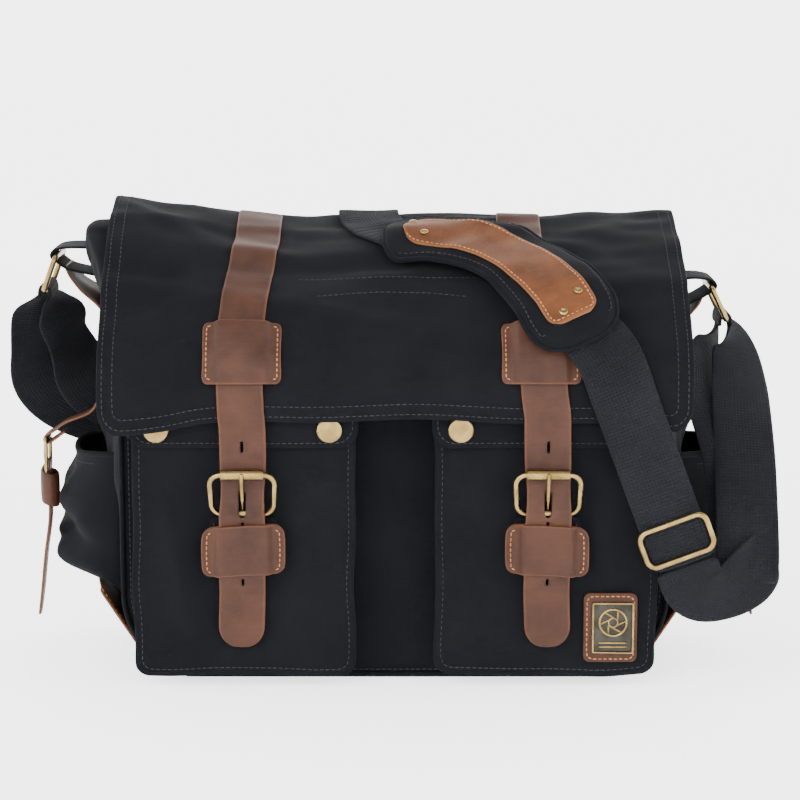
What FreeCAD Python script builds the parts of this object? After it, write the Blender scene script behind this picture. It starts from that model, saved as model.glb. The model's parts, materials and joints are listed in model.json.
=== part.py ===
"""Canvas camera bag: shell, pockets, padded insert, flap, leather straps, buckles and shoulder strap.

Frame: millimetres, +X to the right seen from the front, +Y to the back, +Z up.
Origin: centre of the base, on the surface that the bag stands on.
"""
import FreeCAD, Part
import math
import os

V = FreeCAD.Vector
os.makedirs("parts", exist_ok=True)

# ---------------------------------------------------------------- driving dimensions
# Shell
BODY_LENGTH = 366.0          # along X, over the gussets
BODY_DEPTH = 120.0           # along Y, over the front and back panels
BACK_HEIGHT = 281.4
FRONT_HEIGHT = 234.0
GUSSET_GAP = 2.0             # from the gusset's top edge to the flap above it
CORNER_RADIUS = 55.0         # lower corners of the shell
PANEL_THICK = 4.0
GUSSET_THICK = 3.0
BASE_LEATHER_THICK = 2.0
BASE_LEATHER_START = 22.0    # degrees up the corner from its lowest point
BASE_LEATHER_LEAVE = 58.0    # degrees up the corner where it leaves the shell
BASE_LEATHER_TOP = 58.0
BASE_LEATHER_FLARE = 12.0    # how far its top edge stands out

# Main flap
FLAP_LENGTH = 370.0          # along X
FLAP_THICK = 4.0
FLAP_FRONT = -95.0           # Y of its outer face at the hem
FLAP_HEM = 168.0             # Z of its lower edge
FLAP_KNEE_DROP = 66.5        # where the front and the slope would meet, below the back panel's top
FLAP_CREST_Y = -16.1         # where the slope and the top would meet
FLAP_CREST_DROP = 0.2        # below the back panel's top
FLAP_KNEE_RADIUS = 62.0
FLAP_CREST_RADIUS = 222.0
FLAP_CORNER = 26.0           # rounding of its two front corners
HINGE_Y = 58.0
HINGE_GAP = 0.4              # between the flap's rolled end and the back panel

# Front pockets and their flaps
POCKET_CENTRE = 95.0         # X, left and right
POCKET_WIDTH = 138.0
POCKET_DEPTH = 24.0
POCKET_BASE = 5.0
POCKET_TOP = 177.0
POCKET_WALL = 2.0
POCKET_FLAP_WIDTH = 144.0
POCKET_FLAP_THICK = 2.2
POCKET_FLAP_GAP = 2.0        # room for the snap between flap and pocket
POCKET_FLAP_HEM = 155.0
POCKET_FLAP_HINGE = 196.0
POCKET_FLAP_CORNER = 11.0
POCKET_FLAP_BEND = 9.0
POCKET_FLAP_RISE = 6.0       # its knee above the pocket's mouth
SNAP_RADIUS = 8.0
SNAP_THICK = 1.8
SNAP_POST = 2.0
SNAP_STUD_RADIUS = 4.5
SNAP_STUD_THICK = 1.5
SNAP_HEIGHT = 166.5
SNAP_SPREAD = 54.0           # X from the pocket's centre to each snap
SNAP_CLEARANCE = 0.05

# Side pockets
SIDE_POCKET_WIDTH = 92.0     # along Y
SIDE_POCKET_BASE = 62.0
SIDE_POCKET_TOP = 141.0
SIDE_POCKET_MOUTH = 30.0     # how far the mouth stands out from the gusset
SIDE_POCKET_BULGE = 38.0
SIDE_POCKET_WALL = 2.0
SIDE_POCKET_FOOT = 12.0      # width of its flat underside
SIDE_POCKET_CHIN = 14.0      # above its base, where the bulge starts
SIDE_POCKET_CHEST = 42.0     # above its base, where the bulge ends

# Padded insert
INSERT_GAP = 2.0             # to the gussets and panels
INSERT_FLOOR_GAP = 0.5
INSERT_WALL = 8.0
INSERT_HEIGHT = 176.0
DIVIDER_THICK = 6.0
DIVIDER_PLACE = 56.0         # X of each divider at rest
DIVIDER_GAP = 0.5
DIVIDER_DROP = 12.0          # divider top below the insert's top

# Leather straps, loops and tails
STRAP_CENTRE = 95.0          # X, left and right
STRAP_WIDTH = 29.0
STRAP_THICK = 2.5
STRAP_LIFT = 0.25            # strap above what it lies on
STRAP_TAIL = 27.0            # Z of the tail's end
STRAP_TAIL_Y = -87.0
STRAP_TOP_GAP = 3.0          # strap's end short of the hinge line
STRAP_BEND = 10.0
PATCH_WIDTH = 50.0
PATCH_BASE = 196.0           # Z of its lower edge
PATCH_LENGTH = 40.0          # along the flap
PATCH_THICK = 2.2
KEEPER_WIDTH = 52.0
KEEPER_BASE = 75.0
KEEPER_TOP = 107.0
KEEPER_Y = -94.3             # inner line of the strap inside the keeper
LOOP_SIDE_GAP = 0.9          # strap edge to the loop's side
LOOP_FACE_GAP = 0.35

# Roller buckles
BUCKLE_WIDTH_TOP = 41.0
BUCKLE_WIDTH_BASE = 38.0
BUCKLE_WIRE = 1.75
BUCKLE_BEND = 7.0
HEEL = (-94.0, 114.5)        # (Y, Z) of the heel bar
ROLLER_AXIS = (-100.6, 140.5)
ROLLER_OUTER = 3.2
ROLLER_CLEARANCE = 0.07
ROLLER_LENGTH = 26.4
PRONG_RADIUS = 1.3
PRONG_CLEARANCE = 0.08
PRONG_EYE = 3.3
PRONG_WIDTH = 4.0
PRONG_SLOT = (4.4, 15.0)     # width and length of the strap's prong slot
HOLE_SLOT = (1.8, 7.0)       # the strap's spare hole
HOLE_HEIGHT = 157.5
TAB_WIDTH = 42.0
TAB_THICK = 3.0
TAB_FOLD_THICK = 1.6
TAB_FOLD_CLEARANCE = 0.15
TAB_BASE = 80.0
PRONG_NOTCH = 7.0            # gap in the tab's fold for the prong
MAGNET_RADIUS = 9.0
MAGNET_SOCKET_THICK = 2.2
MAGNET_GAP = 0.4
MAGNET_HEIGHT = 95.0

# Badge
BADGE_CENTRE = (136.5, 39.5)  # (X, Z)
BADGE_SIZE = (37.0, 47.0)
BADGE_THICK = 2.0
BADGE_CORNER = 5.0
PLATE_SIZE = (26.0, 33.0)
PLATE_THICK = 1.4
PLATE_CORNER = 1.5

# Shoulder strap
WEB_WIDTH = 40.0
WEB_THICK = 2.2
WEB_LIFT = 3.0               # above the flap's outer face, where the slider runs
PAD_WIDTH = 60.0
PAD_THICK = 8.0
PAD_LEATHER_WIDTH = 38.0
PAD_LEATHER_THICK = 1.8
RIVET_RADIUS = 2.6
RIVET_THICK = 1.2
# Routes on the flap: (X, distance up the flap from its hem, height above the flap's face)
WEB_ROUTE = [(-18.0, 211.0, 1.0), (-16.0, 196.0, 1.0), (-7.0, 174.0, 1.2), (14.0, 158.0, 1.5),
             (40.0, 149.0, 2.0), (66.0, 133.0, 3.0), (88.0, 110.0, 3.3), (104.0, 84.0, 5.6),
             (118.0, 62.0, 6.6), (130.4, 50.0, 6.6), (137.5, 31.0, 5.6), (148.8, 1.0, 3.0)]
WEB_SLIDER = (175.0, -69.0)  # where the slider's middle lies, below the hem
WEB_LOW_END = (186.6, -100.0)
WEB_STEP = 8.0               # spacing of the facets along the strap
PAD_ROUTE = [(-5.0, 153.0, 3.8), (2.0, 152.6, 3.8), (25.0, 151.0, 4.2), (48.0, 145.0, 4.8),
             (72.0, 130.0, 5.7), (92.0, 106.0, 6.4), (106.0, 80.0, 9.0), (113.0, 62.0, 9.4),
             (116.5, 51.0, 9.4)]
PAD_TAPER = [0.55, 0.86, 1.0, 1.0, 1.0, 1.0, 0.97, 0.86, 0.6]
LEATHER_SPAN = (1, 8)        # stretch of the pad's route that the leather covers
LEATHER_LIFT = 0.2
RIVET_LIFT = 0.6
RIVET_PLACES = [(25.0, 160.0), (13.0, 145.0), (112.0, 76.0), (96.0, 70.0)]

# Slider
SLIDER_LENGTH = 47.0
SLIDER_HEIGHT = 27.0
SLIDER_WIRE = 1.8
SLIDER_BEND = 6.0
SLIDER_CLEARANCE = 0.4
SLIDER_BAR = 1.4
SLIDER_POST = 1.1

# Rings, their tabs and the webbing that hangs from them: (X beyond the gusset, Z)
RING_TOP = {"left": (38.0, 264.0), "right": (23.0, 244.0)}
RING_LOW = {"left": (46.0, 242.0), "right": (33.0, 223.0)}
RING_WIRE = 1.8
RING_Y = 22.0                # middle of each ring, tab and patch
RING_WIDTH = 46.0            # along Y, between the wire's centres
RING_BEND = 4.0
TAB_ROUTE = {"left": [(0.0, 267.0), (43.5, 269.5), (43.5, 258.0), (0.0, 253.0)],
             "right": [(0.0, 266.0), (29.0, 257.0), (29.5, 238.0), (17.0, 238.0), (0.0, 248.0)]}
RING_TAB_WIDTH = 38.0
RING_TAB_THICK = 1.8
RING_TAB_BEND = 3.0
TAB_PATCH_ROUTE = {"left": [(0.0, 198.0), (1.0, 224.0), (28.0, 252.0)],
                   "right": [(0.0, 190.0), (1.0, 216.0), (19.0, 233.0)]}
TAB_PATCH_WIDTH = 34.0
TAB_PATCH_BEND = 10.0
TAB_PATCH_THICK = 1.8
LOOP_CLEARANCE = 0.4
LOOP_LEG = 9.0
STRAND_GAP = 3.0
STRAND_LEAD = 6.0            # a strand's first vertical stretch

# Side pocket straps: (X beyond the gusset, Z) on the right; the left one is its mirror image
SIDE_STRAP_ROUTE = [(52.0, 27.0), (46.5, 70.0), (41.0, 101.0), (41.0, 122.0), (39.0, 128.0),
                    (38.5, 148.0), (23.0, 196.0), (2.2, 214.0), (2.2, 230.0)]
SIDE_STRAP_Y = -8.0
SIDE_STRAP_WIDTH = 13.0
SIDE_STRAP_THICK = 1.8
SIDE_STRAP_BEND = 9.0
SIDE_BUCKLE_CENTRE = (44.5, 136.0)
SIDE_BUCKLE_SIZE = (20.0, 22.0)
SIDE_BUCKLE_WIRE = 1.3
SIDE_BUCKLE_BEND = 4.0
SIDE_KEEPER_SPAN = (106.0, 120.0)
SIDE_KEEPER_THICK = 1.6

# Worked out from the above
HALF_LENGTH = BODY_LENGTH / 2
FRONT = -BODY_DEPTH / 2
BACK = BODY_DEPTH / 2
CORNER_X = HALF_LENGTH - CORNER_RADIUS
POCKET_FACE = FRONT - POCKET_DEPTH
HINGE_Z = BACK_HEIGHT + HINGE_GAP + FLAP_THICK / 2
SIDES = {"left": -1, "right": 1}
PARTS = {}


# ---------------------------------------------------------------- outlines with round corners
def in_yz(u, v, w=0.0):
    return V(w, u, v)


def in_xz(u, v, w=0.0):
    return V(u, w, v)


def in_xy(u, v, w=0.0):
    return V(u, v, w)


def oblong(width, height, centre=(0.0, 0.0)):
    """The four corners of an upright rectangle, from its lower left one round."""
    (x, z), w, h = centre, width / 2, height / 2
    return [(x - w, z - h), (x + w, z - h), (x + w, z + h), (x - w, z + h)]


def corner_arc(before, corner, after, radius):
    """The arc that rounds one corner: its start, end, centre and signed turn."""
    d1 = (FreeCAD.Vector(*corner, 0) - FreeCAD.Vector(*before, 0)).normalize()
    d2 = (FreeCAD.Vector(*after, 0) - FreeCAD.Vector(*corner, 0)).normalize()
    turn = math.atan2(d1.x * d2.y - d1.y * d2.x, d1.dot(d2))
    reach = radius * math.tan(abs(turn) / 2)
    start = (corner[0] - d1.x * reach, corner[1] - d1.y * reach)
    end = (corner[0] + d2.x * reach, corner[1] + d2.y * reach)
    side = 1 if turn > 0 else -1
    centre = (start[0] - d1.y * radius * side, start[1] + d1.x * radius * side)
    return start, end, centre, turn


def round_path(points, radii):
    """Straight runs and arcs through a list of corners; radii has one value for each inner corner."""
    path = []
    here = points[0]
    for i, radius in enumerate(radii, start=1):
        start, end, centre, turn = corner_arc(points[i - 1], points[i], points[i + 1], radius)
        if abs(turn) < 1e-6:
            continue
        path.append(("line", here, start))
        first = math.atan2(start[1] - centre[1], start[0] - centre[0])
        path.append(("arc", centre, radius, first, turn))
        here = end
    path.append(("line", here, points[-1]))
    return path


def piece_length(piece):
    if piece[0] == "line":
        return math.dist(piece[1], piece[2])
    return piece[2] * abs(piece[4])


def piece_point(piece, share, n):
    """A point part of the way along one run or arc, n to its left."""
    if piece[0] == "line":
        (a, b), (c, d) = piece[1], piece[2]
        size = math.dist(piece[1], piece[2])
        ux, uy = (c - a) / size, (d - b) / size
        return (a + (c - a) * share - uy * n, b + (d - b) * share + ux * n)
    centre, radius, first, turn = piece[1:]
    reach = radius - n * (1 if turn > 0 else -1)
    angle = first + turn * share
    return (centre[0] + reach * math.cos(angle), centre[1] + reach * math.sin(angle))


def path_point(path, s, n=0.0):
    """The point at distance s along a path and n to its left; the end runs go on straight."""
    if s < 0:
        return piece_point(path[0], s / piece_length(path[0]), n)
    for piece in path[:-1]:
        size = piece_length(piece)
        if s <= size:
            return piece_point(piece, s / size, n)
        s -= size
    return piece_point(path[-1], s / piece_length(path[-1]), n)


def trim_path(path, s0, s1):
    """The stretch of a path between two distances along it."""
    kept = []
    for piece in path:
        size = piece_length(piece)
        a, b = max(s0, 0.0) / size, min(s1, size) / size
        if b - a > 1e-6 and piece[0] == "line":
            kept.append(("line", piece_point(piece, a, 0), piece_point(piece, b, 0)))
        elif b - a > 1e-6:
            centre, radius, first, turn = piece[1:]
            kept.append(("arc", centre, radius, first + turn * a, turn * (b - a)))
        s0 -= size
        s1 -= size
    return kept


def path_edges(path, n, place):
    edges = []
    for piece in path:
        a, m, b = (place(*piece_point(piece, share, n)) for share in (0.0, 0.5, 1.0))
        if a.distanceToPoint(b) < 1e-4:
            continue
        curve = Part.LineSegment(a, b) if piece[0] == "line" else Part.Arc(a, m, b)
        edges.append(curve.toShape())
    return edges


def joined(points):
    return [Part.LineSegment(a, b).toShape() for a, b in zip(points, points[1:])]


def prism(edges, reach):
    wire = Part.Wire(Part.__sortEdges__(edges))
    return Part.Face(wire).extrude(reach)


def band(path, n0, n1, place, w0, w1):
    """A strip of material between two offsets of a path, extruded across it from w0 to w1."""
    def at(u, v):
        return place(u, v, w0)

    near = path_edges(path, n0, at)
    far = path_edges(path, n1, at)
    caps = []
    for piece, share in ((path[0], 0.0), (path[-1], 1.0)):
        caps += joined([at(*piece_point(piece, share, n0)), at(*piece_point(piece, share, n1))])
    return prism(near + far + caps, place(0, 0, w1) - place(0, 0, w0))


def closed_prism(points, radii, place, w0, w1):
    """A prism on a closed outline whose corners are rounded, from w0 to w1 across its plane."""
    count = len(points)
    arcs = []
    for i, radius in enumerate(radii):
        arcs.append(corner_arc(points[i - 1], points[i], points[(i + 1) % count], max(radius, 1e-3)))
    edges = []
    for i, (start, end, centre, turn) in enumerate(arcs):
        if radii[i] > 0:
            first = math.atan2(start[1] - centre[1], start[0] - centre[0])
            mid = piece_point(("arc", centre, radii[i], first, turn), 0.5, 0)
            edges.append(Part.Arc(place(*start, w0), place(*mid, w0), place(*end, w0)).toShape())
        tail = end if radii[i] > 0 else points[i]
        following = (i + 1) % count
        head = arcs[following][0] if radii[following] > 0 else points[following]
        if math.dist(tail, head) > 1e-4:
            edges += joined([place(*tail, w0), place(*head, w0)])
    return prism(edges, place(0, 0, w1) - place(0, 0, w0))


def block(x0, x1, y0, y1, z0, z1):
    return Part.makeBox(x1 - x0, y1 - y0, z1 - z0, V(x0, y0, z0))


def rounded_plate(centre, size, corner, y0, y1):
    """An upright plate facing the front, with round corners."""
    (cx, cz), (w, h) = centre, size
    points = oblong(w, h, (cx, cz))
    return closed_prism(points, [corner] * 4, in_xz, y0, y1)


def rod(a, b, radius):
    return Part.makeCylinder(radius, a.distanceToPoint(b), a, b - a)


def wire_loop(points, bend, radius, place):
    """A closed loop of round wire: straight runs joined by quarter bends."""
    count = len(points)
    arcs = [corner_arc(points[i - 1], points[i], points[(i + 1) % count], bend) for i in range(count)]
    solids = []
    for i, (start, end, centre, turn) in enumerate(arcs):
        following = arcs[(i + 1) % count][0]
        solids.append(rod(place(*end), place(*following), radius))
        tangent = place(*start) - place(*points[i - 1])
        spin = (place(*start) - place(*centre)).cross(tangent).normalize()
        disc = Part.Face(Part.Wire(Part.makeCircle(radius, place(*start), tangent)))
        solids.append(disc.revolve(place(*centre), spin, math.degrees(abs(turn))))
    return solids[0].multiFuse(solids[1:]).removeSplitter()


def triangle(a, b, c):
    return Part.Face(Part.makePolygon([a, b, c, a]))


def skin_loft(rings):
    """A closed solid with flat facets through a row of outlines, each a lower and then an upper edge."""
    count = len(rings[0])
    faces = []
    for near, far in zip(rings, rings[1:]):
        for i in range(count):
            j = (i + 1) % count
            faces += [triangle(near[i], near[j], far[j]), triangle(near[i], far[j], far[i])]
    for ring in (rings[0], rings[-1]):
        for i in range(count // 2 - 1):
            j = count - 1 - i
            faces += [triangle(ring[i], ring[i + 1], ring[j - 1]), triangle(ring[i], ring[j - 1], ring[j])]
    solid = Part.Solid(Part.Shell(faces))
    if solid.Volume < 0:
        solid.reverse()
    return solid


def save(name, *solids):
    shape = solids[0] if len(solids) == 1 else Part.makeCompound(list(solids))
    assert shape.isValid() and shape.Volume > 0, name
    PARTS[name] = shape


def mirror(shape):
    return shape.mirror(V(0, 0, 0), V(1, 0, 0))


def flap_line():
    crest = (FLAP_CREST_Y, BACK_HEIGHT - FLAP_CREST_DROP)
    knee = (FLAP_FRONT, BACK_HEIGHT - FLAP_KNEE_DROP)
    points = [(FLAP_FRONT, FLAP_HEM), knee, crest, (HINGE_Y, HINGE_Z + FLAP_THICK / 2)]
    return points, [FLAP_KNEE_RADIUS, FLAP_CREST_RADIUS]


FLAP_PATH = round_path(*flap_line())
FLAP_SPAN = sum(piece_length(piece) for piece in FLAP_PATH)


# ---------------------------------------------------------------- shell
def shell_outline(half, radius, base, top):
    """Corners and radii of the bag seen from the front, round at its two lower corners."""
    points = [(-half, base), (half, base), (half, top), (-half, top)]
    return points, [radius, radius, 0, 0]


def panel(height, y0, y1):
    points, radii = shell_outline(HALF_LENGTH, CORNER_RADIUS, 0.0, height)
    return closed_prism(points, radii, in_xz, y0, y1)


def gusset_slope():
    """Everything below the flap's underside, between the front and the back panel."""
    y0, y1 = FRONT + PANEL_THICK, BACK - PANEL_THICK
    drop = -FLAP_THICK - GUSSET_GAP
    crest = [path_point(FLAP_PATH, FLAP_SPAN * share, drop) for share in (0.45, 0.6, 0.75)]
    top = [(y1, BACK_HEIGHT - PANEL_THICK), *reversed(crest), (y0, FRONT_HEIGHT - PANEL_THICK)]
    corners = [(y0, 0.0), (y1, 0.0)] + top
    return closed_prism(corners, [0] * len(corners), in_yz, -HALF_LENGTH, HALF_LENGTH)


def gusset():
    centre = (CORNER_X, CORNER_RADIUS)
    path = [("arc", centre, CORNER_RADIUS, -math.pi / 2, math.pi / 2),
            ("line", (HALF_LENGTH, CORNER_RADIUS), (HALF_LENGTH, BACK_HEIGHT))]
    strip = band(path, 0.0, GUSSET_THICK, in_xz, FRONT + PANEL_THICK, BACK - PANEL_THICK)
    return strip.common(gusset_slope())


def base_leather():
    """Leather over the lower corner: it follows the corner and flares out below the side pocket."""
    start = math.radians(BASE_LEATHER_START)
    leave = math.radians(BASE_LEATHER_LEAVE)
    reach = CORNER_RADIUS
    first = (CORNER_X + reach * math.sin(start), CORNER_RADIUS - reach * math.cos(start))
    last = (CORNER_X + reach * math.sin(leave), CORNER_RADIUS - reach * math.cos(leave))
    arc = ("arc", (CORNER_X, CORNER_RADIUS), reach, start - math.pi / 2, leave - start)
    top = (HALF_LENGTH + BASE_LEATHER_FLARE, BASE_LEATHER_TOP)
    path = [arc, ("line", last, top)]
    assert first[1] > BASE_LEATHER_THICK
    y0, y1 = FRONT + PANEL_THICK, BACK - PANEL_THICK
    upper = band(path[1:], -BASE_LEATHER_THICK, 0.0, in_xz, y0, y1)
    lower = band(path[:1], -BASE_LEATHER_THICK, 0.0, in_xz, y0, y1)
    shell = panel(BACK_HEIGHT, FRONT, BACK)
    return lower.fuse(upper).removeSplitter().cut(shell)


def build_shell():
    save("back_panel", panel(BACK_HEIGHT, BACK - PANEL_THICK, BACK))
    save("front_panel", panel(FRONT_HEIGHT, FRONT, FRONT + PANEL_THICK))
    y0, y1 = FRONT + PANEL_THICK, BACK - PANEL_THICK
    save("bottom_panel", block(-CORNER_X, CORNER_X, y0, y1, 0.0, GUSSET_THICK))
    for side, sign in SIDES.items():
        save("gusset_" + side, gusset() if sign > 0 else mirror(gusset()))
        save("leather_base_" + side, base_leather() if sign > 0 else mirror(base_leather()))


# ---------------------------------------------------------------- pockets
def front_pocket(centre):
    x0, x1 = centre - POCKET_WIDTH / 2, centre + POCKET_WIDTH / 2
    outer = block(x0, x1, POCKET_FACE, FRONT, POCKET_BASE, POCKET_TOP)
    hollow = block(x0 + POCKET_WALL, x1 - POCKET_WALL, POCKET_FACE + POCKET_WALL, FRONT,
                   POCKET_BASE + POCKET_WALL, POCKET_TOP)
    return outer.cut(hollow)


def pocket_flap(centre):
    """A stiff canvas flap that bends over the pocket's mouth; its upper end is rolled on its hinge line."""
    outer = POCKET_FACE - POCKET_FLAP_GAP - POCKET_FLAP_THICK
    half = POCKET_FLAP_THICK / 2
    hinge = (FRONT - half - 0.3, POCKET_FLAP_HINGE)
    route = [(outer + half, POCKET_FLAP_HEM), (outer + half, POCKET_TOP + POCKET_FLAP_RISE), hinge]
    path = round_path(route, [POCKET_FLAP_BEND])
    x0, x1 = centre - POCKET_FLAP_WIDTH / 2, centre + POCKET_FLAP_WIDTH / 2
    flap = band(path, -half, half, in_yz, x0, x1)
    roll = rod(V(x0, *hinge), V(x1, *hinge), half)
    top = POCKET_FLAP_HINGE + POCKET_FLAP_BEND
    points = [(x0, POCKET_FLAP_HEM), (x1, POCKET_FLAP_HEM), (x1, top), (x0, top)]
    trim = closed_prism(points, [POCKET_FLAP_CORNER, POCKET_FLAP_CORNER, 0, 0], in_xz, outer - 1, FRONT)
    return flap.fuse(roll).removeSplitter().common(trim)


def snap_places(centre):
    return [V(centre + sign * SNAP_SPREAD, 0, SNAP_HEIGHT) for sign in (-1, 1)]


def snap_cap(place):
    """A domed cap with the post that goes through the pocket flap."""
    inner = POCKET_FACE - POCKET_FLAP_GAP
    outer = inner - POCKET_FLAP_THICK
    towards = V(0, -1, 0)
    dome = Part.makeCylinder(SNAP_RADIUS, SNAP_THICK, V(place.x, outer, place.z), towards)
    rim = [edge for edge in dome.Edges if abs(edge.BoundBox.YMin - (outer - SNAP_THICK)) < 1e-6]
    dome = dome.makeFillet(SNAP_THICK * 0.6, [e for e in rim if e.Curve.TypeId == "Part::GeomCircle"][:1])
    post = Part.makeCylinder(SNAP_POST, POCKET_FLAP_THICK, V(place.x, inner, place.z), towards)
    return dome.fuse(post)


def build_front_pockets():
    studs = []
    for side, sign in SIDES.items():
        centre = sign * POCKET_CENTRE
        save("front_pocket_" + side, front_pocket(centre))
        flap = pocket_flap(centre)
        for place in snap_places(centre):
            start = V(place.x, POCKET_FACE, place.z)
            flap = flap.cut(Part.makeCylinder(SNAP_POST + SNAP_CLEARANCE, 20.0, start, V(0, -1, 0)))
            studs.append(Part.makeCylinder(SNAP_STUD_RADIUS, SNAP_STUD_THICK, start, V(0, -1, 0)))
        save("pocket_flap_" + side, flap)
        save("snap_caps_" + side, *[snap_cap(place) for place in snap_places(centre)])
    save("snap_studs", *studs)


def side_pocket():
    """A bellows pocket on the right gusset, open at its top."""
    def outline(inset):
        x = HALF_LENGTH
        top = SIDE_POCKET_TOP
        base = SIDE_POCKET_BASE + inset
        bulge = x + SIDE_POCKET_BULGE - inset
        mouth = x + SIDE_POCKET_MOUTH - inset
        low, high = base + SIDE_POCKET_CHIN, base + SIDE_POCKET_CHEST
        return [(x, base), (x + SIDE_POCKET_FOOT, base), (bulge, low), (bulge, high), (mouth, top), (x, top)]

    half = SIDE_POCKET_WIDTH / 2
    outer = closed_prism(outline(0.0), [0, 6, 10, 12, 0, 0], in_xz, -half, half)
    inner = closed_prism(outline(SIDE_POCKET_WALL), [0, 5, 8, 10, 0, 0], in_xz,
                         -half + SIDE_POCKET_WALL, half - SIDE_POCKET_WALL)
    return outer.cut(inner)


def build_side_pockets():
    for side, sign in SIDES.items():
        save("side_pocket_" + side, side_pocket() if sign > 0 else mirror(side_pocket()))


# ---------------------------------------------------------------- padded insert
def insert_shape(inset, y0, y1, top):
    """The insert's outline, which shares the centres of the shell's lower corners."""
    half = HALF_LENGTH - GUSSET_THICK - INSERT_GAP - inset
    radius = CORNER_RADIUS - GUSSET_THICK - INSERT_GAP - inset
    base = CORNER_RADIUS - radius if inset else GUSSET_THICK + INSERT_FLOOR_GAP
    points, radii = shell_outline(half, radius, base, top)
    return closed_prism(points, radii, in_xz, y0, y1)


def build_insert():
    top = GUSSET_THICK + INSERT_HEIGHT
    y0, y1 = FRONT + PANEL_THICK + INSERT_GAP, BACK - PANEL_THICK - INSERT_GAP
    outer = insert_shape(0.0, y0, y1, top)
    inner = insert_shape(INSERT_WALL, y0 + INSERT_WALL, y1 - INSERT_WALL, top)
    save("padded_insert", outer.cut(inner))
    floor = GUSSET_THICK + INSERT_GAP + INSERT_WALL + DIVIDER_GAP
    gap = INSERT_WALL + DIVIDER_GAP
    for side, sign in SIDES.items():
        middle = sign * DIVIDER_PLACE
        save("divider_" + side, block(middle - DIVIDER_THICK / 2, middle + DIVIDER_THICK / 2,
                                      y0 + gap, y1 - gap, floor, top - DIVIDER_DROP))


# ---------------------------------------------------------------- main flap and its straps
def build_flap():
    half = FLAP_LENGTH / 2
    sheet = band(FLAP_PATH, -FLAP_THICK, 0.0, in_yz, -half, half)
    roll = rod(V(-half, HINGE_Y, HINGE_Z), V(half, HINGE_Y, HINGE_Z), FLAP_THICK / 2)
    top = HINGE_Z + FLAP_THICK
    points = [(-half, FLAP_HEM), (half, FLAP_HEM), (half, top), (-half, top)]
    trim = closed_prism(points, [FLAP_CORNER, FLAP_CORNER, 0, 0], in_xz, FLAP_FRONT, HINGE_Y + FLAP_THICK)
    save("flap_panel", sheet.fuse(roll).removeSplitter().common(trim))


def strap_path():
    """Inner face of a leather strap: tail, keeper, over the heel bar, under the roller, up the flap."""
    over_heel = HEEL[0] - BUCKLE_WIRE - TAB_FOLD_CLEARANCE - TAB_FOLD_THICK - LOOP_FACE_GAP
    under_roller = ROLLER_AXIS[0] + ROLLER_OUTER + LOOP_FACE_GAP + STRAP_THICK + STRAP_LIFT
    lower = [(STRAP_TAIL_Y, STRAP_TAIL), (STRAP_TAIL_Y - 2.5, KEEPER_BASE - 10), (KEEPER_Y, KEEPER_BASE - 2),
             (KEEPER_Y, KEEPER_TOP + 1), (over_heel, HEEL[1] - 1.5), (over_heel, HEEL[1] + 2),
             (under_roller, ROLLER_AXIS[1] - 4), (under_roller, ROLLER_AXIS[1] + 3),
             (FLAP_FRONT, FLAP_HEM - 12)]
    upper, bends = flap_line()
    return round_path(lower + upper[1:], [STRAP_BEND] * 3 + [2.0, 2.0] + [STRAP_BEND] * 3 + bends)


def leather_strap(centre):
    path = strap_path()
    span = sum(piece_length(piece) for piece in path)
    path = trim_path(path, 0.0, span - STRAP_TOP_GAP)
    half = STRAP_WIDTH / 2
    x0, x1 = centre - half, centre + half
    strap = band(path, STRAP_LIFT, STRAP_LIFT + STRAP_THICK, in_yz, x0, x1)
    top = HINGE_Z + 20
    points = [(x0, STRAP_TAIL), (x1, STRAP_TAIL), (x1, top), (x0, top)]
    trim = closed_prism(points, [half - 0.01, half - 0.01, 0, 0], in_xz, FLAP_FRONT - 20, HINGE_Y + 20)
    width, length = PRONG_SLOT
    base = HEEL[1] - 2
    prong = block(centre - width / 2, centre + width / 2, FLAP_FRONT - 20, HEEL[0], base, base + length)
    width, length = HOLE_SLOT
    spare = block(centre - width / 2, centre + width / 2, FLAP_FRONT - 20, FLAP_FRONT + 5,
                  HOLE_HEIGHT - length / 2, HOLE_HEIGHT + length / 2)
    return strap.common(trim).cut(prong).cut(spare)


def strap_patch(centre):
    """A leather loop sewn to the flap on both sides of the strap that runs through it."""
    start = PATCH_BASE - FLAP_HEM
    path = trim_path(FLAP_PATH, start, start + PATCH_LENGTH)
    gap = STRAP_LIFT + STRAP_THICK + LOOP_FACE_GAP
    inner = STRAP_WIDTH / 2 + LOOP_SIDE_GAP
    outer = inner + PATCH_THICK
    edge = PATCH_WIDTH / 2
    pieces = [band(path, gap, gap + PATCH_THICK, in_yz, centre - outer, centre + outer)]
    for sign in SIDES.values():
        rise = sorted((centre + sign * inner, centre + sign * outer))
        wing = sorted((centre + sign * inner, centre + sign * edge))
        pieces.append(band(path, 0.0, gap + PATCH_THICK, in_yz, *rise))
        pieces.append(band(path, 0.0, PATCH_THICK, in_yz, *wing))
    return pieces[0].multiFuse(pieces[1:]).removeSplitter()


def tab_face():
    """Y of the buckle tab's front face."""
    return POCKET_FACE - MAGNET_SOCKET_THICK - MAGNET_GAP - MAGNET_SOCKET_THICK - TAB_THICK


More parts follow.
